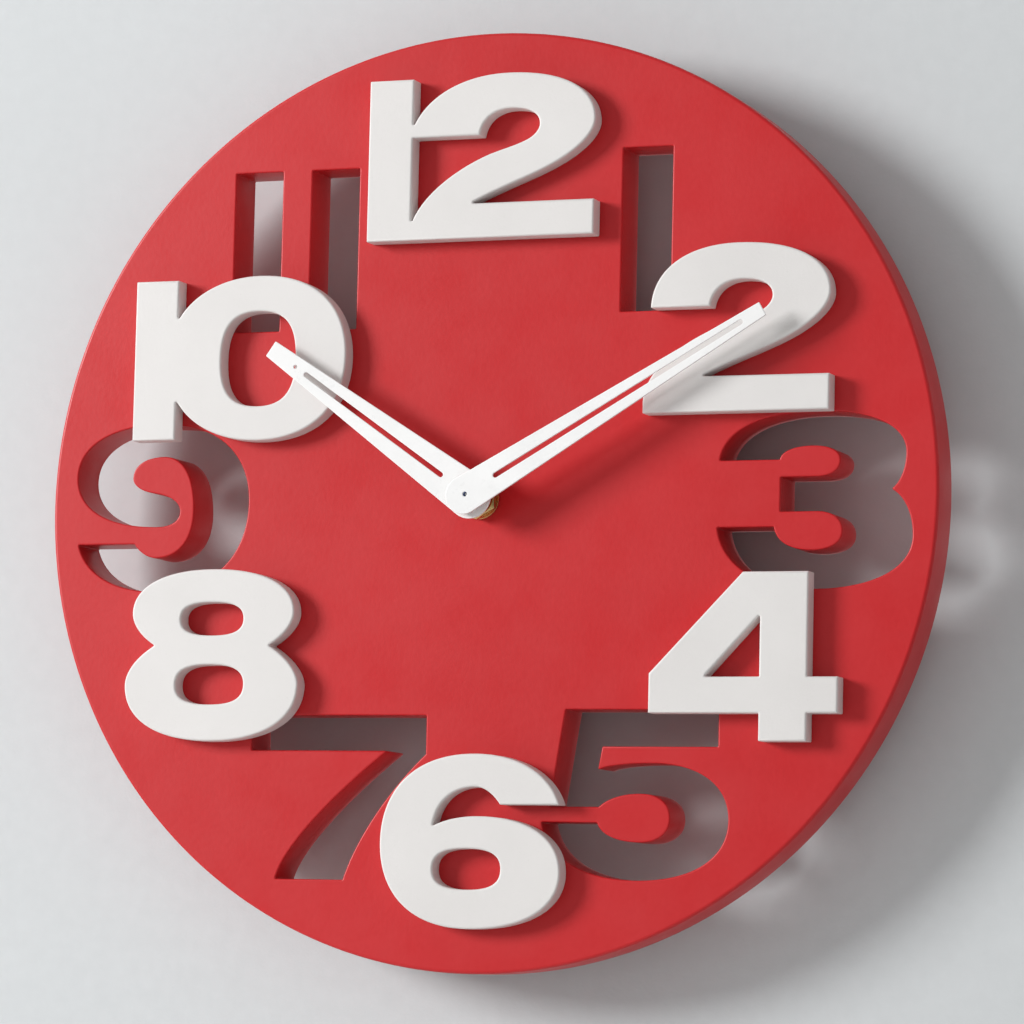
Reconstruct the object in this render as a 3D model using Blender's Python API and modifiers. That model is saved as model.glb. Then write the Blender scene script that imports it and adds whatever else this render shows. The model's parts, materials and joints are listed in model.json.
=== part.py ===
"""A round wall clock: a thick lacquered disc pierced with the odd hours, the even hours raised on it,
two slotted hands, and a battery quartz movement let into its back.

Every piece is drawn in the clock's own frame: x to the right, y up and z from the wall towards the viewer.
The parent empty stands that frame up, so that the clock hangs on a wall with +Z up and faces -Y.
"""

import math

import bmesh
import bpy

# Fits shared by every piece
FIT_GAP = 0.0003
CUT_OVERRUN = 0.002
ROUND_STEPS = 24
SMALL_ROUND_STEPS = 12
COLLET_STEPS = 16
SMOOTH_ANGLE = math.radians(35)
ROUND_PROFILE_SHARE = 0.5
CORNER_SEGMENTS = 3

# Disc
DISC_RADIUS = 0.175
DISC_THICKNESS = 0.018
DISC_EDGE_RADIUS = 0.0012
DISC_RIM_ARCS = 24
RECESS_DEPTH = 0.006
RECESS_MARGIN = 0.002
RECESS_CORNER_RADIUS = 0.006
HANGER_NOTCH_MARGIN = 0.002

# Numerals
NUMERAL_HEIGHT_SHARE = 0.3486
NUMERAL_THICKNESS = 0.007
NUMERAL_EDGE_RADIUS = 0.0007
NUMERAL_STEPS = 5

# Hands
HAND_THICKNESS = 0.0008
HAND_OVER_NUMERAL = 0.0045
HAND_SLOT_WIDTH = 0.0019
HAND_TAIL = 0.0007
HAND_DOT_RADIUS = 0.0009
MINUTE_HAND_LENGTH = 0.1305
MINUTE_HAND_HUB_RADIUS = 0.007
MINUTE_HAND_TIP_WIDTH = 0.0054
MINUTE_SLOT_START = 0.0126
MINUTE_SLOT_END_MARGIN = 0.0085
HOUR_HAND_LENGTH = 0.0985
HOUR_HAND_HUB_RADIUS = 0.0083
HOUR_HAND_TIP_WIDTH = 0.0066
HOUR_SLOT_START = 0.0125
HOUR_SLOT_END_MARGIN = 0.017
HOUR_TIP_HOLE_RADIUS = 0.00075
HOUR_TIP_HOLE_MARGIN = 0.0125
SHOWN_MINUTES = 10
SHOWN_HOURS = 10
COLLET_WALL = 0.0008
COLLET_FLANGE_WIDTH = 0.0012
COLLET_FLANGE_THICKNESS = 0.0006
HOUR_COLLET_LENGTH = 0.0022
MINUTE_COLLET_LENGTH = 0.0015
COLLET_END_GAP = 0.0004

# Shafts through the middle, from the inside out
ARBOR_RADIUS = 0.0005
MINUTE_PIPE_RADIUS = 0.00175
HOUR_PIPE_RADIUS = 0.0025
BUSH_RADIUS = 0.004
BUSH_LENGTH = 0.0235
BUSH_FLANGE_RADIUS = 0.0056
BUSH_FLANGE_THICKNESS = 0.0009
PIPE_END_LENGTH = 0.0003

# Fixings on the bush
NUT_ACROSS_FLATS = 0.014
NUT_THICKNESS = 0.003
NUT_CHAMFER = 0.0006
BRASS_WASHER_RADIUS = 0.0078
BRASS_WASHER_THICKNESS = 0.0008
RUBBER_WASHER_RADIUS = 0.0105
RUBBER_WASHER_THICKNESS = 0.0012

# Hanger plate
HANGER_THICKNESS = 0.001
HANGER_WIDTH = 0.020
HANGER_BELOW_AXIS = 0.012
HANGER_REAR_DEPTH = 0.0085
HANGER_BEND_RISE = 0.006
HANGER_UPPER_LENGTH = 0.016
HANGER_ABOVE_CASE = 0.0015
KEYHOLE_RADIUS = 0.0042
KEYHOLE_BELOW_TOP = 0.0095
KEYHOLE_NECK_WIDTH = 0.0048
KEYHOLE_NECK_RISE = 0.0055

# Movement case. It is as wide as its battery or its gear room needs
GEAR_ROOM_WIDTH = 0.053
CASE_DEPTH = 0.0165
CASE_WALL = 0.0015
CASE_FLOOR = 0.0018
CASE_CORNER_RADIUS = 0.002
REAR_COVER_THICKNESS = 0.0015
COVER_LIP_HEIGHT = 0.0012
COVER_LIP_THICKNESS = 0.001
PARTITION_THICKNESS = 0.0012
POST_PIN_LENGTH = 0.0014
BEARING_DEPTH = 0.0009
POST_RADIUS = 0.0012
POST_PIN_RADIUS = 0.0007

# Battery
BATTERY_RADIUS = 0.00725
BATTERY_BODY_LENGTH = 0.0492
BATTERY_NUB_RADIUS = 0.00275
BATTERY_NUB_LENGTH = 0.0012
BATTERY_EDGE_RADIUS = 0.0008
BATTERY_FLOOR = 0.0008
TROUGH_CLEARANCE = 0.0002
CONTACT_THICKNESS = 0.0004
CONTACT_WIDTH = 0.003
CONTACT_RETURN_MARGIN = 0.0043
CONTACT_OVER_BOARD = 0.002
SPRING_RADIUS = 0.0032
SPRING_TIP_RADIUS = 0.002
SPRING_LENGTH = 0.0008

# Gear train: the wheel's thickness and the space between one wheel and the next
WHEEL_THICKNESS = 0.001
WHEEL_SPACING = 0.0006
PINION_OVERHANG = 0.0002
BRIDGE_THICKNESS = 0.0012
BRIDGE_SPACING = 0.0009
TRAIN_DISTANCE = 0.010
MOTION_DISTANCE = 0.0096
MOTOR_DISTANCE = 0.0065
THIRD_WHEEL_BEARING = 150
FIFTH_WHEEL_BEARING = 90
ROTOR_BEARING = 25
MINUTE_WHEEL_BEARING = 0
KNOB_BEARING = -20
MINUTE_POST_RADIUS = 0.0007

# Tooth counts
ROTOR_LEAVES = 6
FIFTH_TEETH = 30
FIFTH_LEAVES = 6
FOURTH_TEETH = 36
FOURTH_LEAVES = 6
THIRD_TEETH = 45
THIRD_LEAVES = 6
CENTRE_TEETH = 48
CANNON_LEAVES = 9
MINUTE_WHEEL_TEETH = 27
MINUTE_WHEEL_LEAVES = 8
HOUR_WHEEL_TEETH = 32
KNOB_LEAVES = 9

# Tooth form, in shares of the module and of the pitch
ADDENDUM_SHARE = 0.75
DEDENDUM_SHARE = 1.2
TOOTH_WIDTH_SHARE = 0.42
TIP_WIDTH_SHARE = 0.45
ROOT_WIDTH_SHARE = 1.45

# Setting knob
KNOB_RADIUS = 0.0045
KNOB_HEIGHT = 0.002
KNOB_BELOW_COVER = 0.0004
KNOB_SHAFT_RADIUS = 0.0012
KNOB_WELL_MARGIN = 0.0006
KNOB_GRIPS = 16
KNOB_GRIP_DEPTH_SHARE = 0.09

# Stepping motor
MAGNET_RADIUS = 0.0025
MAGNET_THICKNESS = 0.0025
MAGNET_OVER_PINION = 0.0014
STATOR_THICKNESS = 0.001
STATOR_BORE_RADIUS = 0.0031
STATOR_LOBE_RADIUS = 0.0044
STATOR_ARM_WIDTH = 0.0025
COIL_HEIGHT = 0.0226
COIL_SIDE_SHIFT = 0.003
COIL_LENGTH = 0.013
COIL_RADIUS = 0.0033
BOBBIN_RADIUS = 0.0036
BOBBIN_FLANGE = 0.0008
BOBBIN_TUBE_WALL = 0.0005
CORE_OVERHANG = 0.0035
CORE_WIDTH = 0.0022
CORE_THICKNESS = 0.001

# Circuit board
BOARD_THICKNESS = 0.001
BOARD_WIDTH = 0.0092
BOARD_LENGTH = 0.019
BOARD_BASE_HEIGHT = 0.0072
CRYSTAL_RADIUS = 0.001
CRYSTAL_LENGTH = 0.006
CHIP_RADIUS = 0.002
CHIP_HEIGHT = 0.0007

# Headings of an outline, in degrees
RIGHT = 0
UP = 90
LEFT = 180
DOWN = -90

# Numeral outlines. A point is (x, y) at a sharp corner between straight sides, (x, y, heading) where the
# outline runs smoothly through it, and (x, y, arriving, leaving) at a corner with a curved side.
# x and y are shares of the numeral's height.
STEM_SHARE = 0.316
RAISED_STEM_SHARE = 0.29
WIDE_SHARE = 1.16
OVER_SHARE = 0.013
BOWL_FULLNESS_SHARE = 0.62
COUNTER_FULLNESS_SHARE = 0.7
STEM_POINT_SHARES = ((0, 0), (0, 1), (STEM_SHARE, 1), (STEM_SHARE, 0))
ELEVEN_PITCH_SHARE = 0.515

TWO_BOWL_SHARES = (
    (0.59, 1 + OVER_SHARE, RIGHT), (WIDE_SHARE, 0.705, DOWN), (0.82, 0.405, 203),
    (0.36, 0.215, 206, None), (WIDE_SHARE, 0.215), (WIDE_SHARE, 0),
)
TWO_COUNTER_SHARES = (
    (0.455, 0.505, 22), (0.72, 0.595, 25), (0.8, 0.69, UP), (0.62, 0.792, LEFT), (0.413, 0.634, -97, None),
)
TWO_TERMINAL_SHARE = 0.634
TWO_FOOT_SHARES = ((0, 0), (0, 0.065, None, UP))
TWO_TERMINAL_SHARES = (0.04, TWO_TERMINAL_SHARE, None, 88)
TWELVE_STEM_SHARES = ((0, 0), (0, 1), (RAISED_STEM_SHARE, 1), (RAISED_STEM_SHARE, 0.7, None, 66))
TWELVE_WINDOW_SHARES = (RAISED_STEM_SHARE, 0.1, None, 70)
TEN_STEM_SHARES = ((0, 0), (0, 1))
TEN_ZERO_SHARES = (
    (RAISED_STEM_SHARE, 1), (RAISED_STEM_SHARE, 0.75, None, 60), (0.844, 1 + OVER_SHARE, RIGHT),
    (1.428, 0.5, DOWN), (0.844, -OVER_SHARE, LEFT), (RAISED_STEM_SHARE, 0.25, 120, None),
    (RAISED_STEM_SHARE, 0),
)
FOUR_SHARES = (
    (0, 0.165), (0, 0.4), (0.575, 1), (0.98, 1), (0.98, 0.38), (1.168, 0.38),
    (1.168, 0.165), (0.98, 0.165), (0.98, 0), (0.685, 0), (0.685, 0.165),
)
FOUR_COUNTER_SHARES = ((0.685, 0.745), (0.345, 0.38), (0.685, 0.38))
SIX_SHARES = (
    (0.575, -0.005, LEFT), (0, 0.51, UP), (0.6, 1.045, RIGHT), (1.15, 0.74, -72, None),
    (0.77, 0.74, None, 125), (0.615, 0.845, LEFT), (0.34, 0.61, -98, 28), (0.625, 0.67, RIGHT),
    (WIDE_SHARE, 0.335, DOWN),
)
EIGHT_SHARES = (
    (0.195, 0.58, 30, 150), (0.04, 0.78, UP), (0.58, 1.05, RIGHT), (1.13, 0.78, DOWN),
    (0.965, 0.577, 210, -30), (1.165, 0.335, DOWN), (0.58, -0.01, LEFT), (0, 0.335, UP),
)
THREE_SHARES = (
    (0.01, 0.76, -98, None), (0.38, 0.76, None, 78), (0.585, 0.84, RIGHT), (0.757, 0.75, DOWN),
    (0.61, 0.655, LEFT, None), (0.39, 0.655), (0.39, 0.45), (0.61, 0.45, None, RIGHT),
    (0.775, 0.33, DOWN), (0.59, 0.218, LEFT),
    (0.35, 0.36, 98, None), (0, 0.36, None, -82), (0.6, -0.01, RIGHT), (1.2, 0.3, UP),
    (1.07, 0.575, 150, 38), (1.155, 0.79, UP), (0.6, 1.045, LEFT),
)
FIVE_SHARES = (
    (0.14, 1.01), (0.05, 0.43), (0.36, 0.43, None, 45), (0.62, 0.51, RIGHT), (0.81, 0.365, DOWN),
    (0.62, 0.22, LEFT), (0.35, 0.335, 108, None), (0, 0.335, None, -80), (0.6, -0.005, RIGHT),
    (1.17, 0.355, UP), (0.69, 0.69, LEFT), (0.35, 0.65, 205, None), (0.375, 0.79), (1.1, 0.79), (1.1, 1.01),
)
SEVEN_SHARES = (
    (0, 1), (0, 0.785), (0.9, 0.785, None, 218), (0.18, 0, -104, None), (0.625, 0, None, 72),
    (1.15, 0.765, 43, None), (1.15, 1),
)
NINE_SHARES = (
    (0.016, 0.298, 105, None), (0.4, 0.298, None, -55), (0.55, 0.21, RIGHT), (0.803, 0.5, UP),
    (0.59, 0.844, LEFT), (0.377, 0.713, DOWN), (0.53, 0.615, -8), (0.705, 0.5, DOWN), (0.55, 0.405, LEFT),
    (0, 0.72, UP), (0.575, 1.045, RIGHT), (1.17, 0.55, DOWN), (0.56, 0, LEFT),
)

# Counters that are a plain ring: left, bottom, right and top, in shares of the numeral's height
TEN_COUNTER_SHARES = (0.59, 0.2, 1.09, 0.79)
SIX_COUNTER_SHARES = (0.345, 0.23, 0.78, 0.475)
EIGHT_UPPER_COUNTER_SHARES = (0.37, 0.64, 0.79, 0.845)
EIGHT_LOWER_COUNTER_SHARES = (0.345, 0.215, 0.8, 0.46)

# Lower left corner of each numeral, in shares of the disc's radius
RAISED_PLACE_SHARES = {
    "12": (-0.259, 0.551), "2": (0.372, 0.168), "4": (0.397, -0.513),
    "6": (-0.193, -0.905), "8": (-0.797, -0.513), "10": (-0.797, 0.134),
}
CUT_PLACE_SHARES = {
    "1": (0.305, 0.39), "3": (0.527, -0.194), "5": (0.154, -0.798),
    "7": (-0.511, -0.807), "9": (-0.943, -0.191), "11": (-0.585, 0.371),
}

# Sizes that follow from others
numeral_height = NUMERAL_HEIGHT_SHARE * DISC_RADIUS
positive_end = FIT_GAP + CONTACT_THICKNESS + FIT_GAP
negative_end = FIT_GAP + CONTACT_THICKNESS / 2 + SPRING_LENGTH + FIT_GAP
battery_room = negative_end + BATTERY_BODY_LENGTH + BATTERY_NUB_LENGTH + positive_end
inner_half = max(battery_room, GEAR_ROOM_WIDTH) / 2
case_half = inner_half + CASE_WALL

# Depths from the wall, worked out from the sizes above
case_front = CASE_DEPTH
case_floor = case_front - CASE_FLOOR
hanger_back = case_front + FIT_GAP
hanger_front = hanger_back + HANGER_THICKNESS
rubber_back = hanger_front + FIT_GAP
rubber_front = rubber_back + RUBBER_WASHER_THICKNESS
recess_floor = rubber_front + FIT_GAP
disc_back = recess_floor - RECESS_DEPTH
disc_front = disc_back + DISC_THICKNESS
numeral_back = disc_front + FIT_GAP
numeral_front = numeral_back + NUMERAL_THICKNESS
washer_back = disc_front + FIT_GAP
washer_front = washer_back + BRASS_WASHER_THICKNESS
nut_back = washer_front + FIT_GAP
nut_front = nut_back + NUT_THICKNESS
bush_front = case_front + BUSH_LENGTH
hour_hand_back = numeral_front + HAND_OVER_NUMERAL
hour_hand_front = hour_hand_back + HAND_THICKNESS
hour_collet_front = hour_hand_back - FIT_GAP
hour_pipe_front = hour_hand_front + PIPE_END_LENGTH
minute_collet_back = hour_pipe_front + COLLET_END_GAP
minute_collet_front = minute_collet_back + MINUTE_COLLET_LENGTH
minute_hand_back = minute_collet_front + FIT_GAP
minute_hand_front = minute_hand_back + HAND_THICKNESS
minute_pipe_front = minute_collet_front
hanger_bend_foot = case_half + HANGER_ABOVE_CASE
hanger_bend_top = hanger_bend_foot + HANGER_BEND_RISE
hanger_top = hanger_bend_top + HANGER_UPPER_LENGTH

# Wheel levels, from the dial side back
hour_wheel_front = case_floor - WHEEL_SPACING
wheel_pitch = WHEEL_THICKNESS + WHEEL_SPACING
minute_wheel_front = hour_wheel_front - wheel_pitch
centre_wheel_front = minute_wheel_front - wheel_pitch
third_wheel_front = centre_wheel_front - wheel_pitch
fourth_wheel_front = third_wheel_front - wheel_pitch
fifth_wheel_front = fourth_wheel_front - wheel_pitch
bridge_front = fifth_wheel_front - WHEEL_THICKNESS - BRIDGE_SPACING
bridge_back = bridge_front - BRIDGE_THICKNESS
pivot_back = bridge_back + FIT_GAP
pivot_front = case_floor + BEARING_DEPTH - FIT_GAP


def polar(distance, bearing, start=(0, 0)):
    """The point at this distance and bearing, in degrees from +x, from a starting point."""
    angle = math.radians(bearing)
    return start[0] + distance * math.cos(angle), start[1] + distance * math.sin(angle)


centre = (0, 0)
third_place = polar(TRAIN_DISTANCE, THIRD_WHEEL_BEARING)
fifth_place = polar(TRAIN_DISTANCE, FIFTH_WHEEL_BEARING)
rotor_place = polar(MOTOR_DISTANCE, ROTOR_BEARING, fifth_place)
minute_wheel_place = polar(MOTION_DISTANCE, MINUTE_WHEEL_BEARING)
knob_place = polar(MOTION_DISTANCE, KNOB_BEARING, minute_wheel_place)

# Battery compartment, across the foot of the case
battery_height = -inner_half + BATTERY_RADIUS + FIT_GAP
battery_depth = case_front - BATTERY_FLOOR - FIT_GAP - BATTERY_RADIUS
partition_bottom = battery_height + BATTERY_RADIUS + FIT_GAP
partition_top = partition_bottom + PARTITION_THICKNESS
cover_bottom = partition_bottom
contact_back = centre_wheel_front - WHEEL_THICKNESS - WHEEL_SPACING
contact_front = contact_back + CONTACT_WIDTH
contact_line = inner_half - FIT_GAP - CONTACT_THICKNESS / 2
battery_nub_end = contact_line - CONTACT_THICKNESS / 2 - FIT_GAP
battery_left = battery_nub_end - BATTERY_NUB_LENGTH - BATTERY_BODY_LENGTH
contact_return_line = inner_half - CONTACT_RETURN_MARGIN

# Circuit board, up the right side of the case
board_right = inner_half - FIT_GAP
board_left = board_right - BOARD_WIDTH
board_top = BOARD_BASE_HEIGHT + BOARD_LENGTH
board_back = contact_front + FIT_GAP
board_front = board_back + BOARD_THICKNESS

# Stepping motor
magnet_back = fifth_wheel_front + MAGNET_OVER_PINION
magnet_front = magnet_back + MAGNET_THICKNESS
stator_back = (magnet_back + magnet_front) / 2 - STATOR_THICKNESS / 2
stator_front = stator_back + STATOR_THICKNESS
core_back = stator_front + FIT_GAP
core_front = core_back + CORE_THICKNESS
coil_depth = (core_back + core_front) / 2
coil_place = (rotor_place[0] + COIL_SIDE_SHIFT, COIL_HEIGHT)
core_half_length = COIL_LENGTH / 2 + CORE_OVERHANG

# Posts that carry the train bridge, and the bridge's outline, inside the case
gear_room_bottom = partition_top + FIT_GAP + CONTACT_THICKNESS + FIT_GAP
bridge_foot = gear_room_bottom + FIT_GAP
BRIDGE_OUTLINE_SHARES = ((-0.82, 0.52), (-0.05, 0.71), (0.4, 0.71), (0.8, 0.42))
POST_PLACE_SHARES = ((-0.76, -0.28), (0.655, -0.29), (-0.76, 0.46), (0.545, 0.32))
post_places = [(inner_half * x, inner_half * y) for x, y in POST_PLACE_SHARES]


def clear_scene():
    for thing in list(bpy.data.objects):
        bpy.data.objects.remove(thing, do_unlink=True)


def new_collection(name):
    made = bpy.data.collections.new(name)
    bpy.context.scene.collection.children.link(made)
    return made


clear_scene()
clock = new_collection("wall_clock")
cutters = new_collection("cutters")
frame = bpy.data.objects.new("clock_frame", None)
frame.rotation_euler = (math.radians(90), 0, 0)
clock.objects.link(frame)


def material(name, colour, roughness, metallic=0.0):
    """A plain finish: its colour, roughness and metallic value."""
    made = bpy.data.materials.get(name)
    if made:
        return made
    made = bpy.data.materials.new(name)
    made.use_nodes = True
    shader = made.node_tree.nodes["Principled BSDF"]
    shader.inputs["Base Color"].default_value = (*colour, 1)
    shader.inputs["Roughness"].default_value = roughness
    shader.inputs["Metallic"].default_value = metallic
    return made


red_lacquer = material("red_lacquer", (0.58, 0.035, 0.04), 0.35)
numeral_white = material("numeral_white", (0.82, 0.81, 0.79), 0.45)
hand_white = material("hand_white", (0.93, 0.93, 0.92), 0.35)
bright_brass = material("bright_brass", (0.75, 0.55, 0.25), 0.3, 1.0)
hanger_steel = material("hanger_steel", (0.6, 0.6, 0.6), 0.35, 1.0)
black_rubber = material("black_rubber", (0.03, 0.03, 0.03), 0.8)
case_black = material("case_black", (0.03, 0.03, 0.035), 0.5)
wheel_plastic = material("wheel_plastic", (0.85, 0.84, 0.78), 0.45)
pinion_plastic = material("pinion_plastic", (0.2, 0.3, 0.6), 0.4)
motor_iron = material("motor_iron", (0.45, 0.45, 0.46), 0.4, 1.0)
magnet_black = material("magnet_black", (0.08, 0.08, 0.08), 0.5)
coil_copper = material("coil_copper", (0.7, 0.3, 0.15), 0.35, 1.0)
board_green = material("board_green", (0.05, 0.25, 0.1), 0.5)
contact_nickel = material("contact_nickel", (0.7, 0.69, 0.66), 0.3, 1.0)
cell_wrap = material("cell_wrap", (0.1, 0.12, 0.14), 0.35)


def add_object(name, data, finish=None, helper=False):
    """Links an object under the clock's frame. A helper only cuts or joins, and isn't part of the clock."""
    made = bpy.data.objects.new(name, data)
    (cutters if helper else clock).objects.link(made)
    made.parent = frame
    if helper:
        made.hide_render = True
        made.display_type = "WIRE"
    elif finish:
        data.materials.append(finish)
    return made


def finish_mesh(thing):
    thing.data.shade_smooth()
    thing.data.set_sharp_from_angle(angle=SMOOTH_ANGLE)
    return thing


def combine(thing, other, operation):
    """Joins another solid to this one, or cuts it away, with a Boolean that stays on the object."""
    step = thing.modifiers.new(operation.lower(), "BOOLEAN")
    step.operation = operation
    step.object = other
    return thing


def cut(thing, *others):
    for other in others:
        combine(thing, other, "DIFFERENCE")
    return thing


def join(thing, *others):
    for other in others:
        combine(thing, other, "UNION")
    return thing


def full_points(points, scale=1, place=(0, 0)):
    """Every outline point as (x, y, arriving, leaving), sized and moved to its place."""
    made = []
    for point in points:
        x, y = place[0] + scale * point[0], place[1] + scale * point[1]
        if len(point) == 2:
            arriving, leaving = None, None
        elif len(point) == 3:
            arriving, leaving = point[2], point[2]
        else:
            arriving, leaving = point[2], point[3]
        made.append((x, y, arriving, leaving))
    return made


def reach(start, end, fullness):
    """The two handles of the curve from one point to the next: each goes this share of the way to the
    place where the two headings cross, or a third of the way along when they don't cross ahead."""
    gap = (end[0] - start[0], end[1] - start[1])
    length = math.hypot(*gap)
    straight = math.degrees(math.atan2(gap[1], gap[0]))
    leaving = math.radians(straight if start[3] is None else start[3])
    arriving = math.radians(straight if end[2] is None else end[2])
    out_way = (math.cos(leaving), math.sin(leaving))
    in_way = (math.cos(arriving), math.sin(arriving))
    cross = out_way[0] * in_way[1] - out_way[1] * in_way[0]
    first = second = length / 3
    if abs(cross) > math.sin(math.radians(1)):
        ahead = (gap[0] * in_way[1] - gap[1] * in_way[0]) / cross
        behind = (out_way[0] * gap[1] - out_way[1] * gap[0]) / cross
        if min(ahead, behind) > 0 and max(ahead, behind) < 2 * length:
            first, second = fullness * ahead, fullness * behind
    handle_out = (start[0] + first * out_way[0], start[1] + first * out_way[1])
    handle_in = (end[0] - second * in_way[0], end[1] - second * in_way[1])
    return handle_out, handle_in


def add_spline(curve, points, fullness):
    """A closed outline on a 2D curve. A side with no heading at either end stays straight."""
    spline = curve.splines.new("BEZIER")
    spline.bezier_points.add(len(points) - 1)
    spline.use_cyclic_u = True
    knots = spline.bezier_points
    for knot, point in zip(knots, points):
        knot.co = (point[0], point[1], 0)
        knot.handle_left_type = knot.handle_right_type = "VECTOR"
    for index, start in enumerate(points):
        following = (index + 1) % len(points)
        end = points[following]
        if start[3] is None and end[2] is None:
            continue
        handle_out, handle_in = reach(start, end, fullness)
        knots[index].handle_right_type = "FREE"
        knots[index].handle_right = (*handle_out, 0)
        knots[following].handle_left_type = "FREE"
        knots[following].handle_left = (*handle_in, 0)
    return spline


def plate(name, outlines, back, front, finish=None, edge=0.0, steps=1, rounding=1, helper=False):
    """A flat solid between two depths. Each outline is (points, fullness); inner ones are holes.
    With an edge radius, the outline's edges are rounded front and back."""
    curve = bpy.data.curves.new(name, "CURVE")
    curve.dimensions = "2D"
    curve.fill_mode = "BOTH"
    curve.resolution_u = steps
    curve.extrude = (front - back) / 2 - edge
    curve.bevel_depth = edge
    curve.bevel_resolution = rounding
    curve.offset = -edge
    for points, fullness in outlines:
        add_spline(curve, points, fullness)
    drawn = bpy.data.objects.new(name + "_outline", curve)
    drawn.location = (0, 0, (back + front) / 2)
    cutters.objects.link(drawn)
    bpy.context.view_layer.update()
    evaluated = drawn.evaluated_get(bpy.context.evaluated_depsgraph_get())
    mesh = bpy.data.meshes.new_from_object(evaluated)
    mesh.transform(drawn.matrix_world)
    bpy.data.objects.remove(drawn)
    bpy.data.curves.remove(curve)
    body = bmesh.new()
    body.from_mesh(mesh)
    bmesh.ops.remove_doubles(body, verts=body.verts, dist=FIT_GAP / 100)
    bmesh.ops.recalc_face_normals(body, faces=body.faces)
    body.to_mesh(mesh)
    body.free()
    mesh.name = name
    mesh.materials.clear()
    return finish_mesh(add_object(name, mesh, finish, helper))


def block(name, left, right, bottom, top, back, front, finish=None, helper=False, corner=0.0):
    """A box between two corners, with its four edges along z rounded if a corner radius is given."""
    body = bmesh.new()
    bmesh.ops.create_cube(body, size=1)
    size = (right - left, top - bottom, front - back)
    middle = ((left + right) / 2, (bottom + top) / 2, (back + front) / 2)
    bmesh.ops.scale(body, vec=size, verts=body.verts)
    bmesh.ops.translate(body, vec=middle, verts=body.verts)
    if corner:
        upright = [e for e in body.edges if abs(e.verts[0].co.z - e.verts[1].co.z) > size[2] / 2]
        bmesh.ops.bevel(
            body, geom=upright, offset=corner, segments=CORNER_SEGMENTS, profile=ROUND_PROFILE_SHARE,
            affect="EDGES",
        )
    mesh = bpy.data.meshes.new(name)
    body.to_mesh(mesh)
    body.free()
    return finish_mesh(add_object(name, mesh, finish, helper))


def rod(name, place, radius, back, front, finish=None, steps=ROUND_STEPS, helper=False):
    """A plain round bar along z."""
    body = bmesh.new()
    bmesh.ops.create_cone(
        body, cap_ends=True, segments=steps, radius1=radius, radius2=radius, depth=front - back
    )
    bmesh.ops.translate(body, vec=(0, 0, (back + front) / 2), verts=body.verts)
    mesh = bpy.data.meshes.new(name)
    body.to_mesh(mesh)
    body.free()
    made = finish_mesh(add_object(name, mesh, finish, helper))
    made.location = (*place, 0)
    return made


def turned(name, place, profile, finish=None, steps=ROUND_STEPS, helper=False):
    """A turned solid about an axis along z. The profile lists (radius, depth) round the section, down
    its outer side from front to back, and closes on itself or ends on the axis."""
    mesh = bpy.data.meshes.new(name)
    body = bmesh.new()
    rim = [body.verts.new((radius, 0, depth)) for radius, depth in profile]
    closed = profile[0][0] > 0
    for start, end in zip(rim, rim[1:] + rim[:1]):
        if closed or (start.co.x > 0 or end.co.x > 0):
            body.edges.new((start, end))
    body.to_mesh(mesh)
    body.free()
    made = add_object(name, mesh, finish, helper)
    made.location = (*place, 0)
    screw = made.modifiers.new("turn", "SCREW")
    screw.axis = "Z"
    screw.steps = screw.render_steps = steps
    screw.use_merge_vertices = True
    screw.merge_threshold = FIT_GAP / 100
    screw.use_smooth_shade = True
    return made


def ring_profile(inner, outer, back, front):
    """The section of a plain ring, in the order that turned() needs."""
    return [(outer, front), (outer, back), (inner, back), (inner, front)]


def arc_fullness(turn):
    """How far a round arc's handles go towards the place where its two headings cross."""
    return 4 / 3 * math.tan(turn / 4) / math.tan(turn / 2)


def circle(radius, place=(0, 0), arcs=4):
    """A round outline, as this many arcs."""
    points = []
    for index in range(arcs):
        bearing = -360 * index / arcs
        points.append((*polar(radius, bearing, place), bearing + DOWN))
    return full_points(points), arc_fullness(math.tau / arcs)


def counter(shares, scale, place):
    """The hole in a bowl: a squarish oval inside its left, bottom, right and top."""
    left, bottom, right, top = shares
    middle, waist = (left + right) / 2, (bottom + top) / 2
    points = ((left, waist, UP), (middle, top, RIGHT), (right, waist, DOWN), (middle, bottom, LEFT))
    return full_points(points, scale, place), COUNTER_FULLNESS_SHARE


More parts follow.
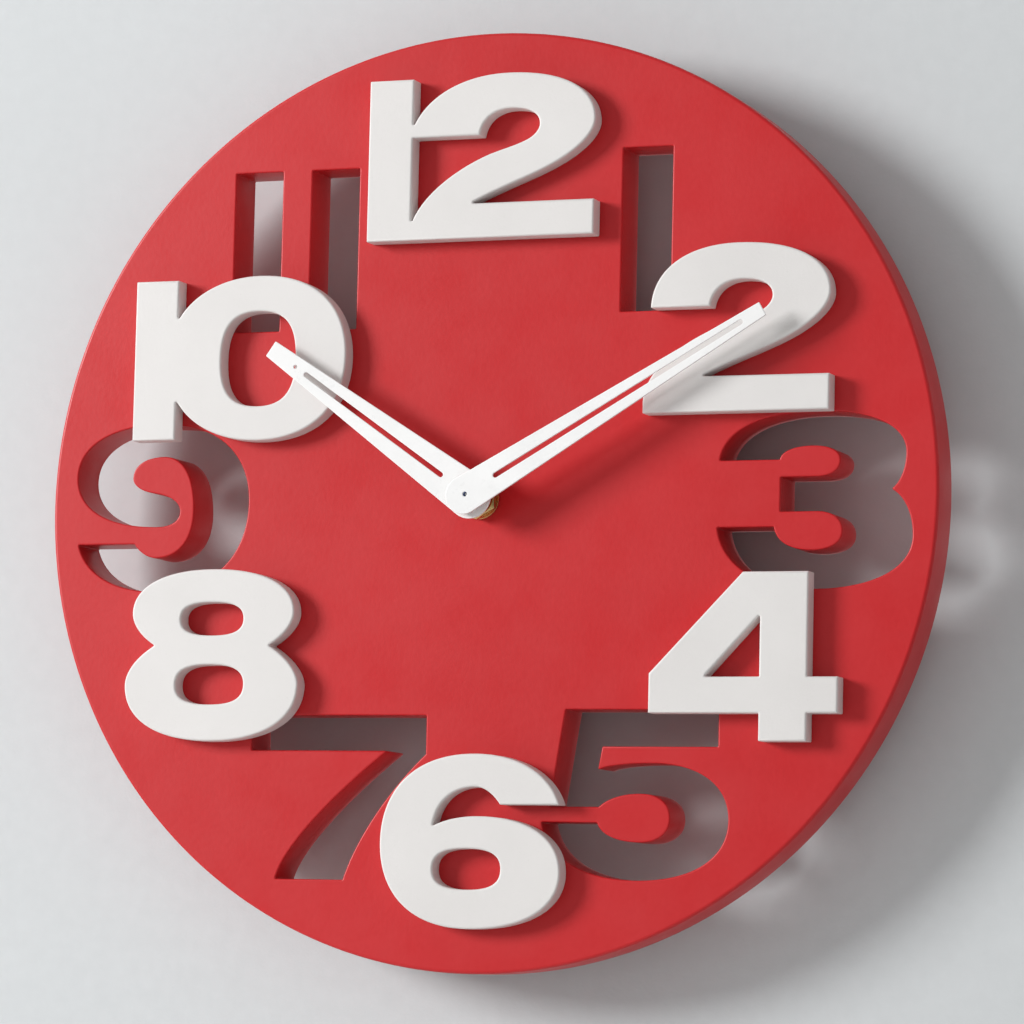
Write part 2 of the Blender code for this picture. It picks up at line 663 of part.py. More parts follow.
def numeral_outlines(numeral, place):
    """The outline and the holes of one hour, with its lower left corner at this place."""

    def drawn(shares):
        return full_points(shares, numeral_height, place), BOWL_FULLNESS_SHARE

    def hole(shares):
        return counter(shares, numeral_height, place)

    if numeral == "1":
        return [drawn(STEM_POINT_SHARES)]
    if numeral == "11":
        second = tuple((x + ELEVEN_PITCH_SHARE, y) for x, y in STEM_POINT_SHARES)
        return [drawn(STEM_POINT_SHARES), drawn(second)]
    if numeral == "2":
        return [drawn((*TWO_FOOT_SHARES, *TWO_COUNTER_SHARES, TWO_TERMINAL_SHARES, *TWO_BOWL_SHARES))]
    if numeral == "12":
        bowl = shifted(TWO_BOWL_SHARES, STEM_SHARE)
        inside = shifted(TWO_COUNTER_SHARES, STEM_SHARE)
        window = (TWELVE_WINDOW_SHARES, *inside, (RAISED_STEM_SHARE, TWO_TERMINAL_SHARE))
        return [drawn((*TWELVE_STEM_SHARES, *bowl)), drawn(window)]
    if numeral == "10":
        return [drawn((*TEN_STEM_SHARES, *TEN_ZERO_SHARES)), hole(TEN_COUNTER_SHARES)]
    if numeral == "4":
        return [drawn(FOUR_SHARES), drawn(FOUR_COUNTER_SHARES)]
    if numeral == "6":
        return [drawn(SIX_SHARES), hole(SIX_COUNTER_SHARES)]
    if numeral == "8":
        upper, lower = hole(EIGHT_UPPER_COUNTER_SHARES), hole(EIGHT_LOWER_COUNTER_SHARES)
        return [drawn(EIGHT_SHARES), upper, lower]
    plain = {"3": THREE_SHARES, "5": FIVE_SHARES, "7": SEVEN_SHARES, "9": NINE_SHARES}
    return [drawn(plain[numeral])]


def shifted(shares, along):
    return tuple((point[0] + along, *point[1:]) for point in shares)


def disc_place(shares):
    return shares[0] * DISC_RADIUS, shares[1] * DISC_RADIUS


def gear_outline(teeth, module, first_tooth=0.0):
    """A toothed outline with one tooth at the bearing first_tooth."""
    pitch_radius = module * teeth / 2
    tip_radius = pitch_radius + ADDENDUM_SHARE * module
    root_radius = pitch_radius - DEDENDUM_SHARE * module
    half_tooth = 180 / teeth * TOOTH_WIDTH_SHARE
    corners = (
        (root_radius, ROOT_WIDTH_SHARE), (tip_radius, TIP_WIDTH_SHARE),
        (tip_radius, -TIP_WIDTH_SHARE), (root_radius, -ROOT_WIDTH_SHARE),
    )
    points = []
    for tooth in range(teeth):
        bearing = first_tooth - 360 * tooth / teeth
        points += [polar(radius, bearing + share * half_tooth) for radius, share in corners]
    return full_points(points), 1


def gap_towards(bearing, teeth):
    """The first tooth's bearing that puts a gap between teeth at this bearing."""
    return bearing + 180 / teeth


def pair_module(distance, teeth, other_teeth):
    return 2 * distance / (teeth + other_teeth)


def flat_disc(name, outline, place, back, front, finish=None, bore=None, helper=False):
    """A flat wheel or pinion about its own axis, with a round bore if one is given."""
    outlines = [outline]
    if bore:
        outlines.append(circle(bore))
    made = plate(name, outlines, back, front, finish, steps=SMALL_ROUND_STEPS // 4, helper=helper)
    made.location = (*place, 0)
    return made


def build_disc():
    """The face: one thick board with the odd hours cut through it and a recess behind for the movement."""
    disc = plate(
        "face_disc", [circle(DISC_RADIUS, arcs=DISC_RIM_ARCS)], disc_back, disc_front, red_lacquer,
        edge=DISC_EDGE_RADIUS, steps=NUMERAL_STEPS,
    )
    reach_out = case_half + RECESS_MARGIN
    notch_half = HANGER_WIDTH / 2 + HANGER_NOTCH_MARGIN
    notch_top = hanger_bend_top + HANGER_NOTCH_MARGIN
    behind, before = disc_back - CUT_OVERRUN, disc_front + CUT_OVERRUN
    for numeral, shares in CUT_PLACE_SHARES.items():
        outlines = numeral_outlines(numeral, disc_place(shares))
        cut(disc, plate("cut_" + numeral, outlines, behind, before, steps=NUMERAL_STEPS, helper=True))
    recess = block(
        "recess_cutter", -reach_out, reach_out, -reach_out, reach_out, behind, recess_floor, helper=True,
        corner=RECESS_CORNER_RADIUS,
    )
    notch = block("notch_cutter", -notch_half, notch_half, 0, notch_top, behind, recess_floor, helper=True)
    bore = rod(
        "bush_bore_cutter", centre, BUSH_RADIUS + FIT_GAP, behind, before, helper=True
    )
    cut(disc, recess, notch, bore)


def build_numerals():
    """The even hours: one solid board piece each, rounded along its edges, on the face of the disc."""
    for numeral, shares in RAISED_PLACE_SHARES.items():
        plate(
            "numeral_" + numeral, numeral_outlines(numeral, disc_place(shares)), numeral_back,
            numeral_front, numeral_white, edge=NUMERAL_EDGE_RADIUS, steps=NUMERAL_STEPS, rounding=0,
        )


def slot_outline(start, end, width):
    """A long slot with round ends, up the middle of a hand."""
    half = width / 2
    points = (
        (-half, start + half, None, DOWN), (0, start, RIGHT), (half, start + half, UP, None),
        (half, end - half, None, UP), (0, end, LEFT), (-half, end - half, DOWN, None),
    )
    return full_points(points), arc_fullness(math.tau / 4)


def build_hand(name, length, hub_radius, tip_width, slots, hub_hole, back, front, shown):
    """A flat hand that tapers from its round end to a square tip, turned to the time that is shown."""
    half_tip = tip_width / 2
    taper = math.asin((hub_radius - half_tip) / (length + HAND_TAIL))
    side, rise = hub_radius * math.cos(taper), hub_radius * math.sin(taper) - HAND_TAIL
    slant = math.degrees(taper)
    points = (
        (-half_tip, length), (half_tip, length), (side, rise, None, DOWN + slant),
        (0, -hub_radius - HAND_TAIL, LEFT), (-side, rise, UP - slant, None),
    )
    outline = full_points(points), arc_fullness(math.tau / 4 + taper)
    hand = plate(
        name, [outline, *slots, circle(hub_hole)], back, front, hand_white, steps=NUMERAL_STEPS,
    )
    hand.rotation_euler = (0, 0, -math.tau * shown)
    return hand


def build_hands():
    minute_slot_end = MINUTE_HAND_LENGTH - MINUTE_SLOT_END_MARGIN
    hour_slot_end = HOUR_HAND_LENGTH - HOUR_SLOT_END_MARGIN
    minute_slot = slot_outline(MINUTE_SLOT_START, minute_slot_end, HAND_SLOT_WIDTH)
    hour_slot = slot_outline(HOUR_SLOT_START, hour_slot_end, HAND_SLOT_WIDTH)
    tip_hole = circle(HOUR_TIP_HOLE_RADIUS, (0, HOUR_HAND_LENGTH - HOUR_TIP_HOLE_MARGIN))
    minutes_share = SHOWN_MINUTES / 60
    hours_share = (SHOWN_HOURS + minutes_share) / 12
    build_hand(
        "minute_hand", MINUTE_HAND_LENGTH, MINUTE_HAND_HUB_RADIUS, MINUTE_HAND_TIP_WIDTH,
        [minute_slot], HAND_DOT_RADIUS, minute_hand_back, minute_hand_front, minutes_share,
    )
    build_hand(
        "hour_hand", HOUR_HAND_LENGTH, HOUR_HAND_HUB_RADIUS, HOUR_HAND_TIP_WIDTH,
        [hour_slot, tip_hole], HOUR_PIPE_RADIUS + FIT_GAP, hour_hand_back, hour_hand_front, hours_share,
    )
    build_collet("minute_hand_collet", MINUTE_PIPE_RADIUS, minute_collet_back, minute_collet_front)
    build_collet(
        "hour_hand_collet", HOUR_PIPE_RADIUS, hour_collet_front - HOUR_COLLET_LENGTH, hour_collet_front
    )


def build_collet(name, pipe_radius, back, front):
    """The flanged ring that grips a pipe under its hand."""
    bore = pipe_radius + FIT_GAP
    outer = bore + COLLET_WALL
    flange = outer + COLLET_FLANGE_WIDTH
    flange_back = front - COLLET_FLANGE_THICKNESS
    profile = [
        (flange, front), (flange, flange_back), (outer, flange_back),
        (outer, back), (bore, back), (bore, front),
    ]
    turned(name, centre, profile, bright_brass, steps=COLLET_STEPS)


def build_fixings():
    """What clamps the movement to the disc: bush, washers, nut and the plate that it hangs by."""
    bore = BUSH_RADIUS + FIT_GAP
    hour_bore = HOUR_PIPE_RADIUS + FIT_GAP
    flange_front = case_floor + BUSH_FLANGE_THICKNESS
    bush = [
        (BUSH_RADIUS, bush_front), (BUSH_RADIUS, flange_front), (BUSH_FLANGE_RADIUS, flange_front),
        (BUSH_FLANGE_RADIUS, case_floor), (hour_bore, case_floor), (hour_bore, bush_front),
    ]
    turned("threaded_bush", centre, bush, bright_brass)
    turned(
        "brass_washer", centre, ring_profile(bore, BRASS_WASHER_RADIUS, washer_back, washer_front),
        bright_brass,
    )
    turned(
        "rubber_washer", centre, ring_profile(bore, RUBBER_WASHER_RADIUS, rubber_back, rubber_front),
        black_rubber,
    )
    build_nut(bore)
    build_hanger(bore)


def build_nut(bore):
    """A hexagon nut: its corners are turned down to a cone front and back."""
    flat_radius = NUT_ACROSS_FLATS / 2
    corner_radius = flat_radius / math.cos(math.radians(30))
    nut = rod("hex_nut", centre, corner_radius, nut_back, nut_front, bright_brass, steps=6)
    blank = [
        (flat_radius, nut_front + NUT_CHAMFER), (corner_radius + NUT_CHAMFER, nut_front - NUT_CHAMFER),
        (corner_radius + NUT_CHAMFER, nut_back + NUT_CHAMFER), (flat_radius, nut_back - NUT_CHAMFER),
    ]
    blank = [(0, nut_front + NUT_CHAMFER), *blank, (0, nut_back - NUT_CHAMFER)]
    combine(nut, turned("nut_blank", centre, blank, helper=True), "INTERSECT")
    behind, before = nut_back - CUT_OVERRUN, nut_front + CUT_OVERRUN
    cut(nut, rod("nut_bore_cutter", centre, bore, behind, before, helper=True))


def ribbon(name, path, back, front, thickness, finish, upright=False):
    """A bent strip of even thickness. Its path runs in x and y, and the strip stands between two depths,
    or with upright its path runs in y and z and the strip spreads between two places in x."""
    body = bmesh.new()
    if upright:
        near = [body.verts.new((back, *point)) for point in path]
        across = (front - back, 0, 0)
    else:
        near = [body.verts.new((*point, back)) for point in path]
        across = (0, 0, front - back)
    edges = [body.edges.new(pair) for pair in zip(near, near[1:])]
    spread = bmesh.ops.extrude_edge_only(body, edges=edges)["geom"]
    far = [piece for piece in spread if isinstance(piece, bmesh.types.BMVert)]
    bmesh.ops.translate(body, vec=across, verts=far)
    bmesh.ops.recalc_face_normals(body, faces=body.faces)
    mesh = bpy.data.meshes.new(name)
    body.to_mesh(mesh)
    body.free()
    made = add_object(name, mesh, finish)
    wall = made.modifiers.new("thickness", "SOLIDIFY")
    wall.thickness = thickness
    wall.offset = 0
    wall.use_even_offset = True
    return made


def build_hanger(bore):
    """The steel plate that the clock hangs by: it is bent back over the case, and has a keyhole."""
    front_line = (hanger_back + hanger_front) / 2
    rear_line = HANGER_REAR_DEPTH + HANGER_THICKNESS / 2
    half = HANGER_WIDTH / 2
    path = [
        (-HANGER_BELOW_AXIS - half, front_line), (hanger_bend_foot, front_line),
        (hanger_bend_top, rear_line), (hanger_top + half, rear_line),
    ]
    hanger = ribbon(
        "hanger_plate", path, -half - half, half + half, HANGER_THICKNESS, hanger_steel, upright=True
    )
    rounded = [
        (-half, 0, None, DOWN), (0, -half, RIGHT), (half, 0, UP, None),
        (half, hanger_top - half, None, UP), (0, hanger_top, LEFT), (-half, hanger_top - half, DOWN, None),
    ]
    outline = full_points(rounded), arc_fullness(math.tau / 4)
    behind, before = HANGER_REAR_DEPTH - CUT_OVERRUN, hanger_front + CUT_OVERRUN
    blank = plate("hanger_blank", [outline], behind, before, steps=NUMERAL_STEPS, helper=True)
    combine(hanger, blank, "INTERSECT")
    keyhole_place = (0, hanger_top - KEYHOLE_BELOW_TOP)
    neck_place = (0, keyhole_place[1] + KEYHOLE_NECK_RISE)
    neck_half = KEYHOLE_NECK_WIDTH / 2
    hole = rod("hanger_bore_cutter", centre, bore, behind, before, helper=True)
    eye = rod("keyhole_eye_cutter", keyhole_place, KEYHOLE_RADIUS, behind, before, helper=True)
    neck_end = rod("keyhole_end_cutter", neck_place, neck_half, behind, before, helper=True)
    neck = block(
        "keyhole_neck_cutter", -neck_half, neck_half, keyhole_place[1], neck_place[1],
        behind, before, helper=True,
    )
    cut(hanger, hole, eye, join(neck, neck_end))


def build_case():
    """The front shell of the movement: floor, walls, posts, bearings and the battery's compartment."""
    case_back = REAR_COVER_THICKNESS + FIT_GAP
    open_back = case_back - CUT_OVERRUN
    case = block(
        "movement_front_case", -case_half, case_half, -case_half, case_half, case_back, case_front,
        case_black, corner=CASE_CORNER_RADIUS,
    )
    gear_room = block(
        "gear_room_cutter", -inner_half, inner_half, partition_top, inner_half, open_back, case_floor,
        helper=True,
    )
    battery_space = block(
        "battery_room_cutter", -inner_half, inner_half, -inner_half, partition_bottom, open_back,
        case_floor, helper=True,
    )
    trough_half = inner_half - FIT_GAP
    trough = rod(
        "trough_cutter", centre, BATTERY_RADIUS + TROUGH_CLEARANCE, -trough_half, trough_half, helper=True
    )
    trough.rotation_euler = (0, math.radians(90), 0)
    trough.location = (0, battery_height, battery_depth)
    bush_seat = [
        (BUSH_RADIUS + FIT_GAP, case_front + CUT_OVERRUN),
        (BUSH_RADIUS + FIT_GAP, case_floor + BUSH_FLANGE_THICKNESS + FIT_GAP),
        (BUSH_FLANGE_RADIUS + FIT_GAP, case_floor + BUSH_FLANGE_THICKNESS + FIT_GAP),
        (BUSH_FLANGE_RADIUS + FIT_GAP, case_floor - CUT_OVERRUN),
    ]
    bush_seat = [(0, bush_seat[0][1]), *bush_seat, (0, bush_seat[-1][1])]
    cut(case, gear_room, battery_space, trough, turned("bush_seat_cutter", centre, bush_seat, helper=True))
    inside = contact_line - CONTACT_THICKNESS / 2 - FIT_GAP
    for side in (-1, 1):
        left, right = sorted((side * inside, side * inner_half))
        slot = block(
            f"contact_slot_cutter_{side + 1}", left, right, partition_bottom - CUT_OVERRUN,
            partition_top + CUT_OVERRUN, open_back, contact_front + FIT_GAP, helper=True,
        )
        cut(case, slot)
    bearing_radius = ARBOR_RADIUS + FIT_GAP
    bearings = {
        "third": (third_place, bearing_radius), "fifth": (fifth_place, bearing_radius),
        "rotor": (rotor_place, bearing_radius), "knob": (knob_place, KNOB_SHAFT_RADIUS + FIT_GAP),
    }
    for name, (place, radius) in bearings.items():
        hole = rod(
            name + "_bearing_cutter", place, radius, case_floor - CUT_OVERRUN, case_floor + BEARING_DEPTH,
            steps=SMALL_ROUND_STEPS, helper=True,
        )
        cut(case, hole)
    root = (case_floor + case_front) / 2
    pin_back = bridge_front + FIT_GAP - POST_PIN_LENGTH
    for index, place in enumerate(post_places):
        post = rod(
            f"bridge_post_{index}", place, POST_RADIUS, bridge_front + FIT_GAP, root,
            steps=SMALL_ROUND_STEPS, helper=True,
        )
        pin = rod(
            f"bridge_pin_{index}", place, POST_PIN_RADIUS, pin_back, case_floor,
            steps=SMALL_ROUND_STEPS, helper=True,
        )
        join(case, post, pin)
    minute_post = rod(
        "minute_wheel_post", minute_wheel_place, MINUTE_POST_RADIUS, minute_wheel_front - WHEEL_THICKNESS,
        root, steps=SMALL_ROUND_STEPS, helper=True,
    )
    join(case, minute_post)


def build_rear_cover():
    """The back of the movement above the battery, with a lip inside the walls and a well for the knob."""
    cover = block(
        "movement_rear_cover", -case_half, case_half, cover_bottom, case_half, 0, REAR_COVER_THICKNESS,
        case_black, corner=CASE_CORNER_RADIUS / 2,
    )
    root = REAR_COVER_THICKNESS / 2
    lip_top = REAR_COVER_THICKNESS + COVER_LIP_HEIGHT
    outer = inner_half - FIT_GAP
    foot = partition_top + FIT_GAP
    inner = outer - COVER_LIP_THICKNESS
    lip = block("cover_lip", -outer, outer, foot, outer, root, lip_top, helper=True)
    hollow = block(
        "cover_lip_cutter", -inner, inner, foot + COVER_LIP_THICKNESS, inner,
        REAR_COVER_THICKNESS, lip_top + CUT_OVERRUN, helper=True,
    )
    join(cover, cut(lip, hollow))
    well = rod(
        "knob_well_cutter", knob_place, KNOB_RADIUS + KNOB_WELL_MARGIN, -CUT_OVERRUN,
        lip_top + CUT_OVERRUN, helper=True,
    )
    cut(cover, well)


def build_bridge():
    """The plate behind the train: it carries the arbors' rear pivots and sits on the four posts."""
    foot = bridge_foot
    corners = [(inner_half * x, inner_half * y) for x, y in BRIDGE_OUTLINE_SHARES]
    points = [(corners[0][0], foot), *corners, (corners[-1][0], foot)]
    pivots = (centre, third_place, fifth_place, rotor_place)
    holes = [circle(ARBOR_RADIUS + FIT_GAP, place) for place in pivots]
    holes.append(circle(KNOB_SHAFT_RADIUS + FIT_GAP, knob_place))
    holes += [circle(POST_PIN_RADIUS + FIT_GAP, place) for place in post_places]
    plate(
        "train_bridge", [(full_points(points), 1), *holes], bridge_back, bridge_front, case_black,
        steps=SMALL_ROUND_STEPS // 4,
    )


def build_arbor(name, wheel, pinion, place, wheel_front, pinion_wheel_front, back, front):
    """A moulded wheel and pinion on one arbor. The pinion stands a little past the wheel that it meets."""
    made = flat_disc(name, wheel, place, wheel_front - WHEEL_THICKNESS, wheel_front, wheel_plastic)
    pinion_back = pinion_wheel_front - WHEEL_THICKNESS - PINION_OVERHANG
    leaves = flat_disc(
        name + "_pinion", pinion, place, pinion_back, pinion_wheel_front + PINION_OVERHANG, helper=True
    )
    arbor = rod(name + "_arbor", place, ARBOR_RADIUS, back, front, steps=SMALL_ROUND_STEPS, helper=True)
    return join(made, leaves, arbor)


def build_train():
    """The going train, from the motor's rotor to the centre wheel. In each pair the pinion has a leaf on
    the line between the two axes, and the wheel has a gap there."""
    fourth_module = pair_module(TRAIN_DISTANCE, FOURTH_TEETH, FIFTH_LEAVES)
    third_module = pair_module(TRAIN_DISTANCE, THIRD_TEETH, FOURTH_LEAVES)
    centre_module = pair_module(TRAIN_DISTANCE, CENTRE_TEETH, THIRD_LEAVES)
    fifth_module = pair_module(MOTOR_DISTANCE, FIFTH_TEETH, ROTOR_LEAVES)
    build_arbor(
        "fifth_wheel",
        gear_outline(FIFTH_TEETH, fifth_module, gap_towards(ROTOR_BEARING, FIFTH_TEETH)),
        gear_outline(FIFTH_LEAVES, fourth_module, FIFTH_WHEEL_BEARING + 180),
        fifth_place, fifth_wheel_front, fourth_wheel_front, pivot_back, pivot_front,
    )
    build_arbor(
        "fourth_wheel",
        gear_outline(FOURTH_TEETH, fourth_module, gap_towards(FIFTH_WHEEL_BEARING, FOURTH_TEETH)),
        gear_outline(FOURTH_LEAVES, third_module, THIRD_WHEEL_BEARING),
        centre, fourth_wheel_front, third_wheel_front, pivot_back, minute_pipe_front - PIPE_END_LENGTH,
    )
    build_arbor(
        "third_wheel",
        gear_outline(THIRD_TEETH, third_module, gap_towards(THIRD_WHEEL_BEARING + 180, THIRD_TEETH)),
        gear_outline(THIRD_LEAVES, centre_module, THIRD_WHEEL_BEARING + 180),
        third_place, third_wheel_front, centre_wheel_front, pivot_back, pivot_front,
    )
    flat_disc(
        "centre_wheel",
        gear_outline(CENTRE_TEETH, centre_module, gap_towards(THIRD_WHEEL_BEARING, CENTRE_TEETH)),
        centre, centre_wheel_front - WHEEL_THICKNESS, centre_wheel_front, wheel_plastic,
        bore=MINUTE_PIPE_RADIUS + FIT_GAP,
    )
    rotor = flat_disc(
        "rotor", gear_outline(ROTOR_LEAVES, fifth_module, ROTOR_BEARING + 180), rotor_place,
        fifth_wheel_front - WHEEL_THICKNESS - PINION_OVERHANG, fifth_wheel_front + PINION_OVERHANG,
        pinion_plastic,
    )
    shaft = rod(
        "rotor_arbor", rotor_place, ARBOR_RADIUS, pivot_back, pivot_front, steps=SMALL_ROUND_STEPS,
        helper=True,
    )
    join(rotor, shaft)
    turned(
        "rotor_magnet", rotor_place,
        ring_profile(ARBOR_RADIUS + FIT_GAP, MAGNET_RADIUS, magnet_back, magnet_front), magnet_black,
    )


def build_motion_work():
    """What turns the hands: the minute pipe, the wheel beside it, the hour wheel and the setting knob."""
    cannon_module = pair_module(MOTION_DISTANCE, MINUTE_WHEEL_TEETH, CANNON_LEAVES)
    hour_module = pair_module(MOTION_DISTANCE, HOUR_WHEEL_TEETH, MINUTE_WHEEL_LEAVES)
    cannon = flat_disc(
        "minute_pipe", gear_outline(CANNON_LEAVES, cannon_module, MINUTE_WHEEL_BEARING), centre,
        minute_wheel_front - WHEEL_THICKNESS - PINION_OVERHANG, minute_wheel_front + PINION_OVERHANG,
        pinion_plastic, bore=ARBOR_RADIUS + FIT_GAP,
    )
    pipe = ring_profile(
        ARBOR_RADIUS + FIT_GAP, MINUTE_PIPE_RADIUS, centre_wheel_front - WHEEL_THICKNESS, minute_pipe_front
    )
    join(cannon, turned("minute_pipe_tube", centre, pipe, steps=SMALL_ROUND_STEPS, helper=True))
    towards_axis = MINUTE_WHEEL_BEARING + 180
    wheel = flat_disc(
        "minute_wheel",
        gear_outline(MINUTE_WHEEL_TEETH, cannon_module, gap_towards(towards_axis, MINUTE_WHEEL_TEETH)),
        minute_wheel_place, minute_wheel_front - WHEEL_THICKNESS, minute_wheel_front, wheel_plastic,
    )
    leaves = flat_disc(
        "minute_wheel_pinion", gear_outline(MINUTE_WHEEL_LEAVES, hour_module, towards_axis),
        minute_wheel_place, minute_wheel_front - WHEEL_THICKNESS / 2, hour_wheel_front + PINION_OVERHANG,
        helper=True,
    )
    post_hole = rod(
        "minute_wheel_bore_cutter", minute_wheel_place, MINUTE_POST_RADIUS + FIT_GAP,
        minute_wheel_front - WHEEL_THICKNESS - CUT_OVERRUN, case_front,
        steps=SMALL_ROUND_STEPS, helper=True,
    )
    cut(join(wheel, leaves), post_hole)
    hour = flat_disc(
        "hour_wheel",
        gear_outline(HOUR_WHEEL_TEETH, hour_module, gap_towards(MINUTE_WHEEL_BEARING, HOUR_WHEEL_TEETH)),
        centre, hour_wheel_front - WHEEL_THICKNESS, hour_wheel_front, wheel_plastic,
        bore=MINUTE_PIPE_RADIUS + FIT_GAP,
    )
    hour_pipe = ring_profile(
        MINUTE_PIPE_RADIUS + FIT_GAP, HOUR_PIPE_RADIUS, hour_wheel_front - WHEEL_THICKNESS / 2,
        hour_pipe_front,
    )
    join(hour, turned("hour_wheel_pipe", centre, hour_pipe, steps=SMALL_ROUND_STEPS, helper=True))
    build_knob(cannon_module)


def build_knob(module):
    """The knob that sets the hands, sunk in the rear cover, with its shaft and pinion."""
    knob_top = KNOB_BELOW_COVER + KNOB_HEIGHT
    grips = []
    for index in range(2 * KNOB_GRIPS):
        depth_share = KNOB_GRIP_DEPTH_SHARE if index % 2 else 0
        grips.append(polar(KNOB_RADIUS * (1 - depth_share), -180 * index / KNOB_GRIPS))
    grip_outline = (full_points(grips), 1)
    knob = flat_disc("setting_knob", grip_outline, knob_place, KNOB_BELOW_COVER, knob_top, pinion_plastic)
    shaft = rod(
        "knob_shaft", knob_place, KNOB_SHAFT_RADIUS, knob_top - KNOB_HEIGHT / 2, pivot_front,
        steps=SMALL_ROUND_STEPS, helper=True,
    )
    towards_wheel = KNOB_BEARING + 180
    leaves = flat_disc(
        "knob_pinion", gear_outline(KNOB_LEAVES, module, towards_wheel), knob_place,
        minute_wheel_front - WHEEL_THICKNESS - PINION_OVERHANG, minute_wheel_front + PINION_OVERHANG,
        helper=True,
    )
    join(knob, shaft, leaves)


def build_motor():
    """The stepping motor: the stator round the magnet, and the coil on its iron core across the top."""
    left, right = coil_place[0] - core_half_length, coil_place[0] + core_half_length
    top = COIL_HEIGHT + CORE_WIDTH / 2
    bar_half = STATOR_ARM_WIDTH / 2
    bar_foot, bar_top = rotor_place[1] - bar_half, rotor_place[1] + bar_half
    arch = (
        (left, bar_foot), (left, top), (left + STATOR_ARM_WIDTH, top), (left + STATOR_ARM_WIDTH, bar_top),
        (right - STATOR_ARM_WIDTH, bar_top), (right - STATOR_ARM_WIDTH, top),
        (right, top), (right, bar_foot),
    )
    stator = plate("stator", [(full_points(arch), 1)], stator_back, stator_front, motor_iron)
    lobe = rod("stator_lobe", rotor_place, STATOR_LOBE_RADIUS, stator_back, stator_front, helper=True)
    bore = rod(
        "stator_bore_cutter", rotor_place, STATOR_BORE_RADIUS, stator_back - CUT_OVERRUN,
        stator_front + CUT_OVERRUN, helper=True,
    )
    cut(join(stator, lobe), bore)
    block(
        "coil_core", left, right, COIL_HEIGHT - CORE_WIDTH / 2, COIL_HEIGHT + CORE_WIDTH / 2,
        core_back, core_front, motor_iron,
    )
    build_coil()


def build_coil():
    half = COIL_LENGTH / 2
    hole_width, hole_depth = CORE_WIDTH / 2 + FIT_GAP, CORE_THICKNESS / 2 + FIT_GAP
    tube = math.hypot(hole_width, hole_depth) + BOBBIN_TUBE_WALL
    inner = half - BOBBIN_FLANGE
    spool = [
        (0, half), (BOBBIN_RADIUS, half), (BOBBIN_RADIUS, inner), (tube, inner),
        (tube, -inner), (BOBBIN_RADIUS, -inner), (BOBBIN_RADIUS, -half), (0, -half),
    ]
    bobbin = turned("coil_bobbin", centre, spool, case_black, steps=COLLET_STEPS)
    winding = ring_profile(tube + FIT_GAP, COIL_RADIUS, -inner + FIT_GAP, inner - FIT_GAP)
    coil = turned("coil_winding", centre, winding, coil_copper, steps=COLLET_STEPS)
    for piece in (bobbin, coil):
        piece.rotation_euler = (0, math.radians(90), 0)
        piece.location = (*coil_place, coil_depth)
    core_hole = block(
        "core_hole_cutter", coil_place[0] - core_half_length, coil_place[0] + core_half_length,
        COIL_HEIGHT - hole_width, COIL_HEIGHT + hole_width,
        coil_depth - hole_depth, coil_depth + hole_depth, helper=True,
    )
    cut(bobbin, core_hole)


def build_electrics():
    """The battery, the strips that carry its current, and the board that times the motor."""
    body = BATTERY_BODY_LENGTH
    end = body + BATTERY_NUB_LENGTH
    shoulder = BATTERY_RADIUS - BATTERY_EDGE_RADIUS
    profile = [
        (0, end), (BATTERY_NUB_RADIUS, end), (BATTERY_NUB_RADIUS, body), (shoulder, body),
        (BATTERY_RADIUS, body - BATTERY_EDGE_RADIUS), (BATTERY_RADIUS, BATTERY_EDGE_RADIUS),
        (shoulder, 0), (0, 0),
    ]
    battery = turned("battery", centre, profile, cell_wrap)
    battery.rotation_euler = (0, math.radians(90), 0)
    battery.location = (battery_left, battery_height, battery_depth)
    foot = battery_height - BATTERY_NUB_RADIUS
    strip_top = BOARD_BASE_HEIGHT + CONTACT_OVER_BOARD
    run_height = partition_top + FIT_GAP + CONTACT_THICKNESS / 2
    ribbon(
        "positive_contact", [(contact_line, foot), (contact_line, strip_top)], contact_back, contact_front,
        CONTACT_THICKNESS, contact_nickel,
    )
    return_path = [
        (-contact_line, foot), (-contact_line, run_height), (contact_return_line, run_height),
        (contact_return_line, strip_top),
    ]
    negative = ribbon(
        "negative_contact", return_path, contact_back, contact_front, CONTACT_THICKNESS, contact_nickel
    )
    spring_length = battery_left - FIT_GAP + contact_line
    spring = [(0, spring_length), (SPRING_TIP_RADIUS, spring_length), (SPRING_RADIUS, 0), (0, 0)]
    cone = turned("contact_spring", centre, spring, steps=SMALL_ROUND_STEPS, helper=True)
    cone.rotation_euler = (0, math.radians(90), 0)
    cone.location = (-contact_line, battery_height, (contact_back + contact_front) / 2)
    join(negative, cone)
    build_board()


def build_board():
    block(
        "circuit_board", board_left, board_right, BOARD_BASE_HEIGHT, board_top, board_back, board_front,
        board_green,
    )
    behind = board_back - FIT_GAP
    quarter = BOARD_WIDTH / 4
    chip_place = (board_left + quarter, (BOARD_BASE_HEIGHT + board_top) / 2)
    chip_end = behind - CHIP_HEIGHT
    chip = [(0, behind), (CHIP_RADIUS, behind), (CHIP_RADIUS / 2, chip_end), (0, chip_end)]
    turned("timing_chip", chip_place, chip, case_black)
    crystal = rod(
        "quartz_crystal", centre, CRYSTAL_RADIUS, 0, CRYSTAL_LENGTH, hanger_steel, steps=SMALL_ROUND_STEPS
    )
    crystal.rotation_euler = (math.radians(-90), 0, 0)
    crystal.location = (board_right - quarter, chip_place[1] - CRYSTAL_LENGTH / 2, behind - CRYSTAL_RADIUS)


build_disc()
build_numerals()
build_hands()
build_fixings()
build_case()
build_rear_cover()
build_bridge()
build_train()
build_motion_work()
build_motor()
build_electrics()
